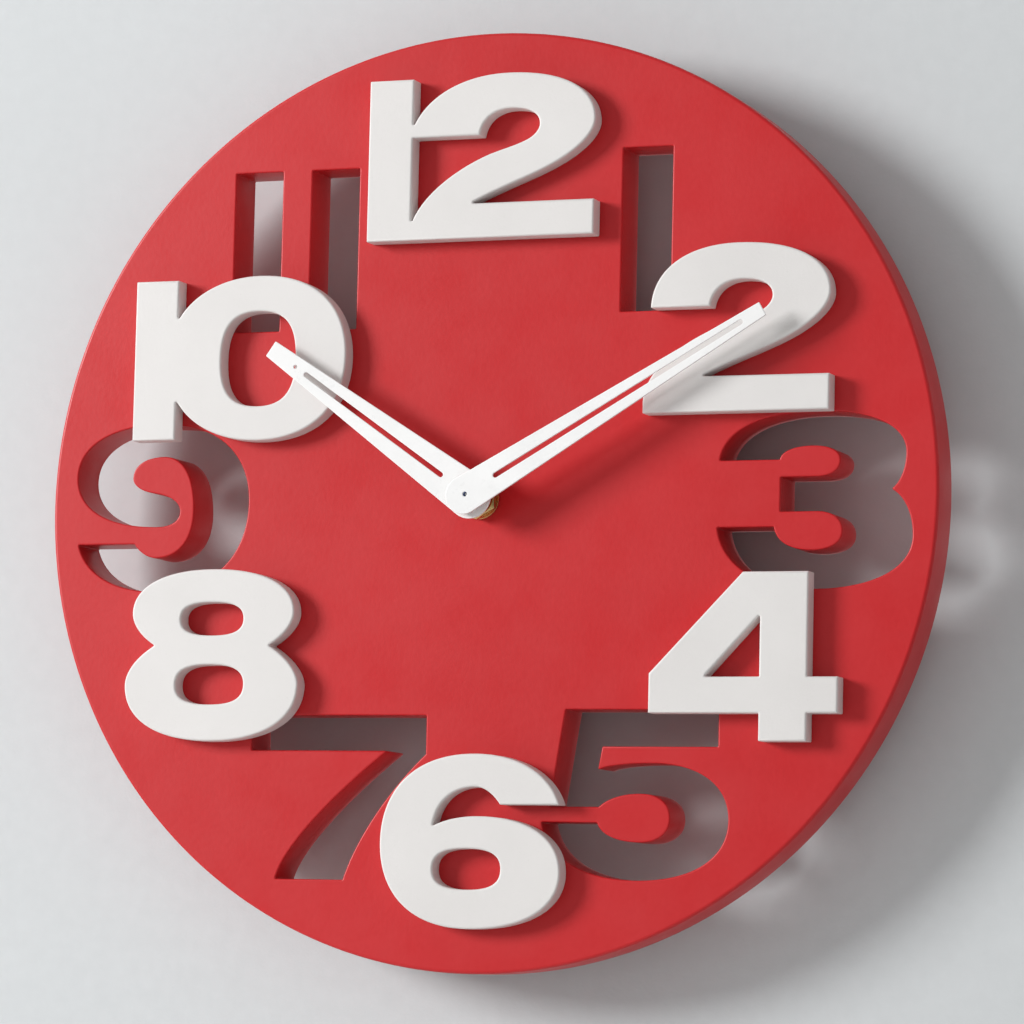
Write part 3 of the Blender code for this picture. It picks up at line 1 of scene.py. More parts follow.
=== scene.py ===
"""Looks of the wall clock: a thick red lacquered disc pierced with the odd hours, with the even hours
raised on it, two slotted white hands and a battery quartz movement let into its back.

x runs to the right and z up, as the clock hangs, and depth runs out of the wall along -y.
"""

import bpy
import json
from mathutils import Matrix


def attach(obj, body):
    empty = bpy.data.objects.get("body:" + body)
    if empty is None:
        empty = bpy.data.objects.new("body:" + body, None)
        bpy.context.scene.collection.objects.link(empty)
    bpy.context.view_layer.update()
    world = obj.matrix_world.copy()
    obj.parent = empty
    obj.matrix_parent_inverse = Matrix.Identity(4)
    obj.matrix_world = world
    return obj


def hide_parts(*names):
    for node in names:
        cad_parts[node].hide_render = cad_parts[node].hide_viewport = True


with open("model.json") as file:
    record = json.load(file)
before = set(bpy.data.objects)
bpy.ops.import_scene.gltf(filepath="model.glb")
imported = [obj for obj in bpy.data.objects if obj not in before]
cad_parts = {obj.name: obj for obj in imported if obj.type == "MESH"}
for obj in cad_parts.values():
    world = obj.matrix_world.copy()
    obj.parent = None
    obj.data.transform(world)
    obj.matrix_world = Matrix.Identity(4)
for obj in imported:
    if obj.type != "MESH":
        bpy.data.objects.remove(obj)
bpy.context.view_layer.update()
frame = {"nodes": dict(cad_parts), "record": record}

import json
import math

import bmesh
import bpy
from mathutils import Matrix, Vector, geometry

NODES = frame["nodes"]

# ---------------------------------------------------------------- sizes

DISC_RADIUS = 0.175
DISC_BACK, DISC_FRONT = 0.0136, 0.0316
DISC_RIM_EDGE, DISC_BACK_EDGE = 0.0013, 0.0009
CUT_EDGE, CUT_BACK_EDGE, CUT_FILLET = 0.0006, 0.0004, 0.0004
RECESS_HALF, RECESS_FLOOR, RECESS_CORNER = 0.030, 0.0196, 0.006
RECESS_EDGE, RECESS_FILLET = 0.0002, 0.0008
NOTCH_HALF, NOTCH_TOP = 0.012, 0.0375
BORE_RADIUS, BORE_EDGE = 0.0043, 0.0003

NUMERAL_HEIGHT = 0.3486 * DISC_RADIUS
NUMERAL_BACK, NUMERAL_FRONT = 0.03165, 0.0389
NUMERAL_EDGE, NUMERAL_BACK_EDGE = 0.0008, 0.0003
CORNER_FILLET = 0.00035

HAND_THICKNESS = 0.0008
HAND_TAIL, HAND_SLOT_WIDTH = 0.0007, 0.0019
MINUTE_HAND = dict(length=0.1305, hub=0.007, tip=0.0054, slot=(0.0126, 0.122), back=0.0467)
HOUR_HAND = dict(length=0.0985, hub=0.0083, tip=0.0066, slot=(0.0125, 0.0815), back=0.0434)
HAND_EDGE = 0.00018
HAND_DOT_RADIUS = 0.0009
HOUR_PIPE_BORE = 0.0028
HOUR_TIP_HOLE = (0.00075, 0.086)
MINUTE_TURN, HOUR_TURN = 1 / 6, (10 + 1 / 6) / 12

NUT_BACK, NUT_FRONT, NUT_FLAT, NUT_CONE_RADIUS, NUT_CONE_ANGLE = 0.033, 0.036, 0.007, 0.0067, 30
NUT_EDGE, NUT_EDGE_DEPTH, NUT_BORE_EDGE = 0.00008, 0.0001, 0.0004
BRASS_WASHER = dict(outer=0.0078, back=0.0319, front=0.0327, edge=0.00014)
RUBBER_WASHER = dict(outer=0.0105, back=0.0181, front=0.0193, edge=0.0003)
BUSH_BACK, BUSH_FRONT, BUSH_BORE = 0.0147, 0.04, 0.0028
FLANGE_FRONT, FLANGE_RADIUS = 0.0156, 0.0056
THREAD_PITCH, THREAD_ROOT, THREAD_CREST, THREAD_START = 0.00075, 0.00362, 0.004, 0.017
CELL_LEFT, CELL_RIGHT, CELL_TIP, CELL_PLACE = -0.0249, 0.0243, 0.0255, (0.00815, -0.01895)
CELL_RADIUS, CELL_EDGE, CELL_NUB, CELL_SHOULDER = 0.00725, 0.0008, 0.00275, 0.0115
FIELD_HALF_WIDTH, FIELD_HALF_HEIGHT, FIELD_MIDDLE = 0.0245, 0.0165, 0.0095

OUTLINE_STEP = 0.0009
RIGHT, UP, LEFT, DOWN = 0, 90, 180, -90

# ---------------------------------------------------------------- numeral outlines, in shares of height

STEM, RAISED_STEM, WIDE, OVER = 0.316, 0.29, 1.16, 0.013
STEM_POINTS = ((0, 0), (0, 1), (STEM, 1), (STEM, 0))
ELEVEN_PITCH = 0.515
TWO_BOWL = (
    (0.59, 1 + OVER, RIGHT), (WIDE, 0.705, DOWN), (0.82, 0.405, 203),
    (0.36, 0.215, 206, None), (WIDE, 0.215), (WIDE, 0),
)
TWO_COUNTER = (
    (0.455, 0.505, 22), (0.72, 0.595, 25), (0.8, 0.69, UP), (0.62, 0.792, LEFT), (0.413, 0.634, -97, None),
)
TWO_TERMINAL = 0.634
TEN_ZERO = (
    (RAISED_STEM, 1), (RAISED_STEM, 0.75, None, 60), (0.844, 1 + OVER, RIGHT), (1.428, 0.5, DOWN),
    (0.844, -OVER, LEFT), (RAISED_STEM, 0.25, 120, None), (RAISED_STEM, 0),
)
FOUR = (
    (0, 0.165), (0, 0.4), (0.575, 1), (0.98, 1), (0.98, 0.38), (1.168, 0.38),
    (1.168, 0.165), (0.98, 0.165), (0.98, 0), (0.685, 0), (0.685, 0.165),
)
FOUR_COUNTER = ((0.685, 0.745), (0.345, 0.38), (0.685, 0.38))
SIX = (
    (0.575, -0.005, LEFT), (0, 0.51, UP), (0.6, 1.045, RIGHT), (1.15, 0.74, -72, None),
    (0.77, 0.74, None, 125), (0.615, 0.845, LEFT), (0.34, 0.61, -98, 28), (0.625, 0.67, RIGHT),
    (WIDE, 0.335, DOWN),
)
EIGHT = (
    (0.195, 0.58, 30, 150), (0.04, 0.78, UP), (0.58, 1.05, RIGHT), (1.13, 0.78, DOWN),
    (0.965, 0.577, 210, -30), (1.165, 0.335, DOWN), (0.58, -0.01, LEFT), (0, 0.335, UP),
)
THREE = (
    (0.01, 0.76, -98, None), (0.38, 0.76, None, 78), (0.585, 0.84, RIGHT), (0.757, 0.75, DOWN),
    (0.61, 0.655, LEFT, None), (0.39, 0.655), (0.39, 0.45), (0.61, 0.45, None, RIGHT), (0.775, 0.33, DOWN),
    (0.59, 0.218, LEFT), (0.35, 0.36, 98, None), (0, 0.36, None, -82), (0.6, -0.01, RIGHT), (1.2, 0.3, UP),
    (1.07, 0.575, 150, 38), (1.155, 0.79, UP), (0.6, 1.045, LEFT),
)
FIVE = (
    (0.14, 1.01), (0.05, 0.43), (0.36, 0.43, None, 45), (0.62, 0.51, RIGHT), (0.81, 0.365, DOWN),
    (0.62, 0.22, LEFT), (0.35, 0.335, 108, None), (0, 0.335, None, -80), (0.6, -0.005, RIGHT),
    (1.17, 0.355, UP), (0.69, 0.69, LEFT), (0.35, 0.65, 205, None), (0.375, 0.79), (1.1, 0.79), (1.1, 1.01),
)
SEVEN = (
    (0, 1), (0, 0.785), (0.9, 0.785, None, 218), (0.18, 0, -104, None), (0.625, 0, None, 72),
    (1.15, 0.765, 43, None), (1.15, 1),
)
NINE = (
    (0.016, 0.298, 105, None), (0.4, 0.298, None, -55), (0.55, 0.21, RIGHT), (0.803, 0.5, UP),
    (0.59, 0.844, LEFT), (0.377, 0.713, DOWN), (0.53, 0.615, -8), (0.705, 0.5, DOWN), (0.55, 0.405, LEFT),
    (0, 0.72, UP), (0.575, 1.045, RIGHT), (1.17, 0.55, DOWN), (0.56, 0, LEFT),
)
TEN_HOLE = (0.59, 0.2, 1.09, 0.79)
SIX_HOLE = (0.345, 0.23, 0.78, 0.475)
EIGHT_HOLES = ((0.37, 0.64, 0.79, 0.845), (0.345, 0.215, 0.8, 0.46))
BOWL_FULLNESS, COUNTER_FULLNESS = 0.62, 0.7

RAISED = {
    "12": (-0.259, 0.551), "2": (0.372, 0.168), "4": (0.397, -0.513),
    "6": (-0.193, -0.905), "8": (-0.797, -0.513), "10": (-0.797, 0.134),
}
CUT = {
    "1": (0.305, 0.39), "3": (0.527, -0.194), "5": (0.154, -0.798),
    "7": (-0.511, -0.807), "9": (-0.943, -0.191), "11": (-0.585, 0.371),
}


# ---------------------------------------------------------------- outlines

def full_points(points, scale=1.0, place=(0.0, 0.0)):
    made = []
    for point in points:
        x, y = place[0] + scale * point[0], place[1] + scale * point[1]
        heads = (None, None) if len(point) == 2 else (point[2], point[-1])
        made.append((x, y, *heads))
    return made


def handles(start, end, fullness):
    """The inner control points of the curve from one outline point to the next."""
    gap = (end[0] - start[0], end[1] - start[1])
    length = math.hypot(*gap)
    straight = math.degrees(math.atan2(gap[1], gap[0]))
    leaving = math.radians(straight if start[3] is None else start[3])
    arriving = math.radians(straight if end[2] is None else end[2])
    out_way = (math.cos(leaving), math.sin(leaving))
    in_way = (math.cos(arriving), math.sin(arriving))
    cross = out_way[0] * in_way[1] - out_way[1] * in_way[0]
    first = second = length / 3
    if abs(cross) > math.sin(math.radians(1)):
        ahead = (gap[0] * in_way[1] - gap[1] * in_way[0]) / cross
        behind = (out_way[0] * gap[1] - out_way[1] * gap[0]) / cross
        if min(ahead, behind) > 0 and max(ahead, behind) < 2 * length:
            first, second = fullness * ahead, fullness * behind
    return (
        (start[0] + first * out_way[0], start[1] + first * out_way[1]),
        (end[0] - second * in_way[0], end[1] - second * in_way[1]),
    )


def sampled(points, fullness, step=OUTLINE_STEP):
    """A closed outline as a list of (x, y): straight sides by their ends, curved ones by even steps."""
    made = []
    for index, start in enumerate(points):
        end = points[(index + 1) % len(points)]
        made.append((start[0], start[1]))
        if start[3] is None and end[2] is None:
            continue
        a, b = handles(start, end, fullness)
        length = sum(math.dist(p, q) for p, q in zip((start[:2], a, b), (a, b, end[:2])))
        count = max(3, round(length / step))
        for i in range(1, count):
            t = i / count
            s = 1 - t
            weights = (s * s * s, 3 * s * s * t, 3 * s * t * t, t * t * t)
            corners = (start[:2], a, b, end[:2])
            made.append(tuple(sum(w * p[k] for w, p in zip(weights, corners)) for k in (0, 1)))
    return made


def round_loop(radius, place=(0.0, 0.0), count=48):
    turns = [math.tau * i / count for i in range(count)]
    return [(place[0] + radius * math.cos(t), place[1] + radius * math.sin(t)) for t in turns]


def oval(shares, place):
    left, bottom, right, top = shares
    middle, waist = (left + right) / 2, (bottom + top) / 2
    points = ((left, waist, UP), (middle, top, RIGHT), (right, waist, DOWN), (middle, bottom, LEFT))
    return sampled(full_points(points, NUMERAL_HEIGHT, place), COUNTER_FULLNESS)


def shifted(shares, along):
    return tuple((point[0] + along, *point[1:]) for point in shares)


def numeral_loops(numeral, place):
    """The outer outlines and then the holes of one hour."""

    def drawn(shares):
        return sampled(full_points(shares, NUMERAL_HEIGHT, place), BOWL_FULLNESS)

    if numeral == "1":
        return [drawn(STEM_POINTS)]
    if numeral == "11":
        return [drawn(STEM_POINTS), drawn(shifted(STEM_POINTS, ELEVEN_PITCH))]
    if numeral == "2":
        foot = ((0, 0), (0, 0.065, None, UP), *TWO_COUNTER)
        return [drawn((*foot, (0.04, TWO_TERMINAL, None, 88), *TWO_BOWL))]
    if numeral == "12":
        stem = ((0, 0), (0, 1), (RAISED_STEM, 1), (RAISED_STEM, 0.7, None, 66))
        outer = (*stem, *shifted(TWO_BOWL, STEM))
        window = ((RAISED_STEM, 0.1, None, 70), *shifted(TWO_COUNTER, STEM), (RAISED_STEM, TWO_TERMINAL))
        return [drawn(outer), drawn(window)]
    if numeral == "10":
        return [drawn(((0, 0), (0, 1), *TEN_ZERO)), oval(TEN_HOLE, place)]
    if numeral == "4":
        return [drawn(FOUR), drawn(FOUR_COUNTER)]
    if numeral == "6":
        return [drawn(SIX), oval(SIX_HOLE, place)]
    if numeral == "8":
        return [drawn(EIGHT), *(oval(hole, place) for hole in EIGHT_HOLES)]
    return [drawn({"3": THREE, "5": FIVE, "7": SEVEN, "9": NINE}[numeral])]


def area_of(loop):
    return sum(a[0] * b[1] - b[0] * a[1] for a, b in zip(loop, loop[1:] + loop[:1])) / 2


class Loop:
    """A closed outline with the solid on its left. Its corners get a small fillet, and at(offset) gives
    the outline moved into the solid by that offset, with the same number of points."""

    def __init__(self, points, hole=False, fillet=CORNER_FILLET, reach=0.0):
        points = [Vector(p) for p in points]
        points = [p for i, p in enumerate(points) if (p - points[i - 1]).length > 1e-6]
        if (area_of([tuple(p) for p in points]) > 0) == hole:
            points.reverse()
        turns = self.turns(points)
        kept = []
        count = len(points)
        sharp = [i for i in range(count) if abs(turns[i]) > math.radians(20)]
        blocked = set()
        for i in sharp:
            need = max(fillet, reach if turns[i] > 0 else 0) * math.tan(abs(turns[i]) / 2) * 1.15
            for way in (1, -1):
                j, run = i, 0.0
                while True:
                    k = (j + way) % count
                    run += (points[k] - points[j]).length
                    if k in sharp or run > need or k == i:
                        break
                    blocked.add(k)
                    j = k
        for i in range(count):
            if i not in blocked:
                kept.append((points[i], i in sharp))
        self.points = []
        total = len(kept)
        for i, (point, corner) in enumerate(kept):
            before, after = kept[i - 1][0], kept[(i + 1) % total][0]
            n1, n2 = self.normal(before, point), self.normal(point, after)
            mitre = (n1 + n2) / max(1 + n1.dot(n2), 0.05)
            if not corner:
                self.points.append(("plain", point, mitre, None, None))
                continue
            turn = math.atan2(n1.cross(n2), n1.dot(n2))
            steps = 4
            for k in range(steps + 1):
                angle = turn * k / steps
                facing = Matrix.Rotation(angle, 2) @ n1
                self.points.append(("out" if turn > 0 else "in", point, mitre, facing, fillet))

    @staticmethod
    def normal(a, b):
        way = (b - a).normalized()
        return Vector((-way.y, way.x))

    @classmethod
    def turns(cls, points):
        made = []
        for i, point in enumerate(points):
            a, b = cls.normal(points[i - 1], point), cls.normal(point, points[(i + 1) % len(points)])
            made.append(math.atan2(a.cross(b), a.dot(b)))
        return made

    def at(self, offset):
        made = []
        for kind, point, mitre, facing, fillet in self.points:
            if kind == "plain":
                made.append(point + mitre * offset)
            elif kind == "out":
                if offset < fillet:
                    made.append(point + mitre * fillet - facing * (fillet - offset))
                else:
                    made.append(point + mitre * offset)
            else:
                made.append(point - mitre * fillet + facing * (fillet + offset))
        return made


def rounded_rows(back, front, back_edge, front_edge, steps=5, support=0.00012):
    """The (offset, depth) rows of a wall with rounded edges, from its back face to its front face."""
    rows = []
    if back_edge:
        rows.append((back_edge + support, back))
        for i in range(steps + 1):
            angle = math.pi / 2 * i / steps
            rows.append((back_edge * (1 - math.sin(angle)), back + back_edge * (1 - math.cos(angle))))
    else:
        rows.append((0, back))
    if front_edge:
        for i in range(steps + 1):
            angle = math.pi / 2 * i / steps
            rows.append((front_edge * (1 - math.cos(angle)), front - front_edge * (1 - math.sin(angle))))
        rows.append((front_edge + support, front))
    else:
        rows.append((0, front))
    return rows


def inside(point, loops):
    x, y = point
    odd = False
    for loop in loops:
        for (ax, ay), (bx, by) in zip(loop, loop[1:] + loop[:1]):
            if (ay > y) != (by > y) and x < (bx - ax) * (y - ay) / (by - ay) + ax:
                odd = not odd
    return odd


def fill(body, rings, depth, towards_front):
    """A flat face between rings of vertices, at one depth. Each ring is (points, vertices)."""
    flat = [tuple(p) for points, _ in rings for p in points]
    verts = [v for _, vs in rings for v in vs]
    edges, start = [], 0
    for points, _ in rings:
        n = len(points)
        edges += [(start + i, start + (i + 1) % n) for i in range(n)]
        start += n
    found, _, faces, origin, _, _ = geometry.delaunay_2d_cdt([Vector(p) for p in flat], edges, [], 0, 1e-8)
    loops = [[tuple(p) for p in points] for points, _ in rings]
    bounds = [(min(p[1] for p in loop), max(p[1] for p in loop)) for loop in loops]
    for face in faces:
        centre = sum((found[i] for i in face), Vector((0, 0))) / len(face)
        near = [loop for loop, (low, high) in zip(loops, bounds) if low <= centre.y <= high]
        if not inside(centre, near):
            continue
        corners = [verts[origin[i][0]] for i in face]
        if len(set(corners)) < 3:
            continue
        a, b, c = (found[i] for i in face[:3])
        if ((b - a).cross(c - a) > 0) != towards_front:
            corners.reverse()
        try:
            body.faces.new(corners)
        except ValueError:
            pass


def sweep(body, loop, rows):
    """The wall of one outline through its rows. It gives the first and last rings as (points, vertices)."""
    rings = []
    for offset, depth in rows:
        points = loop.at(offset)
        rings.append((points, [body.verts.new((p.x, -depth, p.y)) for p in points]))
    for (_, low), (_, high) in zip(rings, rings[1:]):
        n = len(low)
        for i in range(n):
            j = (i + 1) % n
            body.faces.new((low[i], low[j], high[j], high[i]))
    return rings[0], rings[-1]


def finished(name, body, material, angle=34):
    """Closes up the doubled points, and makes the object with smooth faces and sharp creases."""
    bmesh.ops.remove_doubles(body, verts=body.verts, dist=2e-7)
    bmesh.ops.dissolve_degenerate(body, dist=1e-8, edges=body.edges)
    bmesh.ops.recalc_face_normals(body, faces=body.faces)
    mesh = bpy.data.meshes.new(name)
    body.to_mesh(mesh)
    body.free()
    mesh.shade_smooth()
    mesh.set_sharp_from_angle(angle=math.radians(angle))
    made = bpy.data.objects.new(name, mesh)
    bpy.context.scene.collection.objects.link(made)
    mesh.materials.append(material)
    return made


def slab(name, outer, holes, back, front, back_edge, front_edge, material, fillet=CORNER_FILLET, steps=5):
    """A flat solid between two depths with rounded edges front and back."""
    body = bmesh.new()
    rows = rounded_rows(back, front, back_edge, front_edge, steps)
    reach = max(back_edge, front_edge)
    rings = [sweep(body, Loop(points, False, fillet, reach), rows) for points in outer]
    rings += [sweep(body, Loop(points, True, fillet, reach), rows) for points in holes]
    fill(body, [first for first, _ in rings], back, False)
    fill(body, [last for _, last in rings], front, True)
    return finished(name, body, material)


# ---------------------------------------------------------------- materials

class Paint:
    """A short way to write a node material on Object coordinates, in metres."""

    def __init__(self, name):
        self.material = bpy.data.materials.new(name)
        self.material.use_nodes = True
        self.tree = self.material.node_tree
        self.shader = self.tree.nodes["Principled BSDF"]
        self.coords = self.node("ShaderNodeTexCoord").outputs["Object"]

    def node(self, kind, **inputs):
        made = self.tree.nodes.new(kind)
        for key, value in inputs.items():
            socket = made.inputs[key.replace("_", " ")]
            if isinstance(value, bpy.types.NodeSocket):
                self.tree.links.new(value, socket)
            else:
                socket.default_value = value
        return made

    def set(self, **values):
        for key, value in values.items():
            self.shader.inputs[key.replace("_", " ")].default_value = value
        return self

    def link(self, value, socket):
        self.tree.links.new(value, self.shader.inputs[socket])
        return self

    def noise(self, scale, detail=3.0, roughness=0.5, stretch=None):
        coords = self.coords
        if stretch:
            mapping = self.node("ShaderNodeMapping", Vector=coords)
            mapping.inputs["Scale"].default_value = stretch
            coords = mapping.outputs[0]
        made = self.node("ShaderNodeTexNoise", Vector=coords, Scale=scale, Detail=detail)
        made.inputs["Roughness"].default_value = roughness
        return made.outputs["Fac"]

    def cells(self, scale):
        return self.node("ShaderNodeTexVoronoi", Vector=self.coords, Scale=scale).outputs["Distance"]

    def spread(self, value, low, high, start=0.3, end=0.7):
        made = self.node("ShaderNodeMapRange")
        self.tree.links.new(value, made.inputs["Value"])
        for key, number in (("From Min", start), ("From Max", end), ("To Min", low), ("To Max", high)):
            made.inputs[key].default_value = number
        return made.outputs[0]

    def blend(self, share, first, second):
        made = self.node("ShaderNodeMix")
        made.data_type = "RGBA"
        sockets = [s for s in made.inputs if s.type == "RGBA"]
        for socket, colour in zip(sockets, (first, second)):
            if isinstance(colour, bpy.types.NodeSocket):
                self.tree.links.new(colour, socket)
            else:
                socket.default_value = (*colour, 1)
        self.tree.links.new(share, made.inputs[0])
        return next(s for s in made.outputs if s.type == "RGBA")

    def maths(self, operation, a, b=0.0):
        made = self.node("ShaderNodeMath")
        made.operation = operation
        for socket, value in zip(made.inputs, (a, b)):
            if isinstance(value, bpy.types.NodeSocket):
                self.tree.links.new(value, socket)
            else:
                socket.default_value = value
        return made.outputs[0]

    def bump(self, *layers):
        """Each layer is (height, strength, distance)."""
        normal = None
        for height, strength, distance in layers:
            made = self.node("ShaderNodeBump", Strength=strength, Distance=distance, Height=height)
            if normal is not None:
                self.tree.links.new(normal, made.inputs["Normal"])
            normal = made.outputs["Normal"]
        return self.link(normal, "Normal")

    def parts(self):
        return self.node("ShaderNodeSeparateXYZ", Vector=self.coords).outputs

    def distance_from_axis(self):
        x_gap, _, z_gap = self.parts()
        x_square, z_square = self.maths("MULTIPLY", x_gap, x_gap), self.maths("MULTIPLY", z_gap, z_gap)
        return self.maths("SQRT", self.maths("ADD", x_square, z_square))


def red_lacquer():
    p = Paint("red_lacquer")
    cloud = p.spread(p.noise(9, 3), 0, 1)
    fine = p.spread(p.noise(420, 4), 0, 1)
    base = p.blend(cloud, (0.52, 0.007, 0.010), (0.56, 0.011, 0.015))
    base = p.blend(p.maths("MULTIPLY", fine, 0.2), base, (0.6, 0.022, 0.027))
    p.link(base, "Base Color")
    p.link(p.spread(p.noise(55, 4), 0.36, 0.47), "Roughness")
    p.set(IOR=1.44)
    return p.bump((p.noise(650, 3), 0.09, 0.0004), (p.noise(2600, 2), 0.05, 0.0001)).material


def numeral_white():
    p = Paint("numeral_white")
    base = p.blend(p.spread(p.noise(24, 4), 0, 1), (0.715, 0.695, 0.68), (0.755, 0.735, 0.72))
    speck = p.spread(p.noise(1500, 2), 0, 1, 0.66, 0.78)
    p.link(p.blend(p.maths("MULTIPLY", speck, 0.3), base, (0.62, 0.6, 0.57)), "Base Color")
    p.link(p.spread(p.noise(90, 3), 0.46, 0.6), "Roughness")
    p.set(IOR=1.48)
    return p.bump((p.noise(900, 4), 0.12, 0.0004), (p.noise(3600, 2), 0.08, 0.0001)).material


def hand_white():
    p = Paint("hand_white")
    base = p.blend(p.spread(p.noise(60, 3), 0, 1), (0.87, 0.87, 0.865), (0.92, 0.92, 0.915))
    p.link(base, "Base Color")
    p.link(p.spread(p.noise(260, 3), 0.26, 0.38), "Roughness")
    p.set(IOR=1.5)
    return p.bump((p.noise(2400, 3), 0.06, 0.0001)).material


def turned_metal(name, dark, light, rough=(0.2, 0.34), ring=5200):
    """Metal turned about the clock's axis: fine rings, with a faint stain."""
    p = Paint(name)
    rings = p.maths("SINE", p.maths("MULTIPLY", p.distance_from_axis(), ring))
    stain = p.spread(p.noise(180, 4), 0, 1)
    p.link(p.blend(stain, dark, light), "Base Color")
    p.set(Metallic=1.0)
    p.link(p.spread(p.noise(700, 3), *rough), "Roughness")
    return p.bump((rings, 0.12, 0.00006), (p.noise(5000, 2), 0.08, 0.00005)).material


def zinc_steel(name, low, high, rough=(0.3, 0.46), stretch=(40, 40, 900)):
    """Plated sheet: a faint spangle and fine rolling lines, drawn out by the stretch."""
    p = Paint(name)
    spangle = p.spread(p.cells(420), 0, 1, 0.1, 0.9)
    cloud = p.spread(p.noise(80, 4), 0, 1)
    share = p.maths("MULTIPLY", spangle, 0.35)
    p.link(p.blend(share, p.blend(cloud, low, high), tuple(0.85 * c for c in low)), "Base Color")
    p.set(Metallic=1.0)
    lines = p.noise(1.0, 3, stretch=stretch)
    p.link(p.spread(lines, *rough), "Roughness")
    return p.bump((lines, 0.15, 0.00008), (p.noise(1800, 3), 0.08, 0.00005)).material


def moulded(name, low, high, rough, grain, depth):
    """An injection moulding: a fine eroded grain, with faint flow clouds."""
    p = Paint(name)
    p.link(p.blend(p.spread(p.noise(70, 4), 0, 1), low, high), "Base Color")
    p.link(p.spread(p.noise(350, 3), *rough), "Roughness")
    return p.bump((p.noise(grain, 3, 0.6), 0.2, depth), (p.noise(60, 2), 0.04, 0.0006)).material


def case_plastic():
    """A black moulding with a fine grain, and a sunk field on its back."""
    p = Paint("case_black")
    cloud = p.spread(p.noise(70, 4), 0, 1)
    p.link(p.blend(cloud, (0.02, 0.02, 0.022), (0.036, 0.036, 0.039)), "Base Color")
    p.link(p.spread(p.noise(350, 3), 0.4, 0.56), "Roughness")
    x, _, z = p.parts()
    across = p.maths("MULTIPLY", p.maths("ABSOLUTE", x), 1 / FIELD_HALF_WIDTH)
    above = p.maths("ABSOLUTE", p.maths("SUBTRACT", z, FIELD_MIDDLE))
    along = p.maths("MULTIPLY", above, 1 / FIELD_HALF_HEIGHT)
    field = p.spread(p.maths("MAXIMUM", across, along), 0, 1, 0.985, 1.015)
    grain, flow = p.noise(2200, 3, 0.6), p.noise(60, 2)
    return p.bump((field, 0.7, 0.0004), (grain, 0.22, 0.00012), (flow, 0.05, 0.0006)).material


def matt_rubber():
    p = Paint("black_rubber")
    cloud = p.spread(p.noise(300, 4), 0, 1)
    p.link(p.blend(cloud, (0.022, 0.022, 0.022), (0.05, 0.049, 0.047)), "Base Color")
    p.link(p.spread(p.noise(900, 3), 0.68, 0.9), "Roughness")
    return p.bump((p.noise(2600, 4, 0.65), 0.35, 0.0001)).material


def copper_winding():
    """Turns of fine enamelled wire, side by side along x."""
    p = Paint("coil_copper")
    along = p.parts()[0]
    turns = p.maths("SINE", p.maths("MULTIPLY", along, 30000))
    cloud = p.spread(p.noise(500, 4), 0, 1)
    p.link(p.blend(cloud, (0.42, 0.13, 0.05), (0.66, 0.26, 0.11)), "Base Color")
    p.set(Metallic=1.0)
    p.link(p.spread(p.noise(1500, 2), 0.22, 0.38), "Roughness")
    return p.bump((turns, 0.5, 0.00012)).material


def solder_resist():
    """Green resist over faint tracks."""
    p = Paint("board_green")
    x, _, z = p.parts()
    columns = p.maths("SINE", p.maths("MULTIPLY", x, 4200))
    rows = p.maths("SINE", p.maths("MULTIPLY", z, 900))
    over = p.spread(p.maths("MULTIPLY", columns, rows), 0, 1, 0.1, 0.3)
    base = p.blend(over, (0.022, 0.15, 0.055), (0.04, 0.26, 0.09))
    p.link(base, "Base Color")
    p.link(p.spread(p.noise(900, 3), 0.3, 0.45), "Roughness")
    return p.bump((over, 0.25, 0.00006), (p.noise(3000, 2), 0.08, 0.00005)).material


def cell_film():
    """The shrunk film of a plain battery: a dark barrel, a copper-coloured shoulder and bare ends."""
    p = Paint("cell_wrap")
    along = p.parts()[0]
    shoulder = p.spread(along, 0, 1, CELL_SHOULDER, CELL_SHOULDER + 0.0003)
    streaks = p.spread(p.noise(1.0, 3, stretch=(2200, 60, 60)), 0, 1)
    dark = p.blend(streaks, (0.028, 0.032, 0.036), (0.05, 0.054, 0.06))
    copper = p.blend(streaks, (0.46, 0.2, 0.08), (0.58, 0.27, 0.12))
    nub, base = p.maths("GREATER_THAN", along, 0.02435), p.maths("LESS_THAN", along, -0.02472)
    ends = p.maths("MAXIMUM", nub, base)
    p.link(p.blend(ends, p.blend(shoulder, dark, copper), (0.62, 0.62, 0.61)), "Base Color")
    p.link(ends, "Metallic")
    p.link(p.spread(p.noise(120, 3), 0.2, 0.34), "Roughness")
    p.set(IOR=1.5)
    return p.bump((p.noise(260, 3), 0.1, 0.0003)).material


BRASS = ((0.62, 0.42, 0.16), (0.78, 0.57, 0.27))
HANGER = ((0.56, 0.57, 0.59), (0.68, 0.69, 0.7))
IRON = ((0.38, 0.38, 0.39), (0.5, 0.5, 0.51), (0.34, 0.52), (600, 60, 60))
MAGNET = ((0.05, 0.05, 0.052), (0.1, 0.1, 0.1), (0.35, 0.5), 3600, 0.00008)
WHEEL = ((0.78, 0.765, 0.69), (0.86, 0.85, 0.79), (0.36, 0.5), 3000, 0.00006)
PINION = ((0.14, 0.23, 0.5), (0.2, 0.31, 0.62), (0.3, 0.42), 3000, 0.00006)
NICKEL = ((0.62, 0.6, 0.56), (0.74, 0.72, 0.68), (0.2, 0.34), (900, 60, 60))

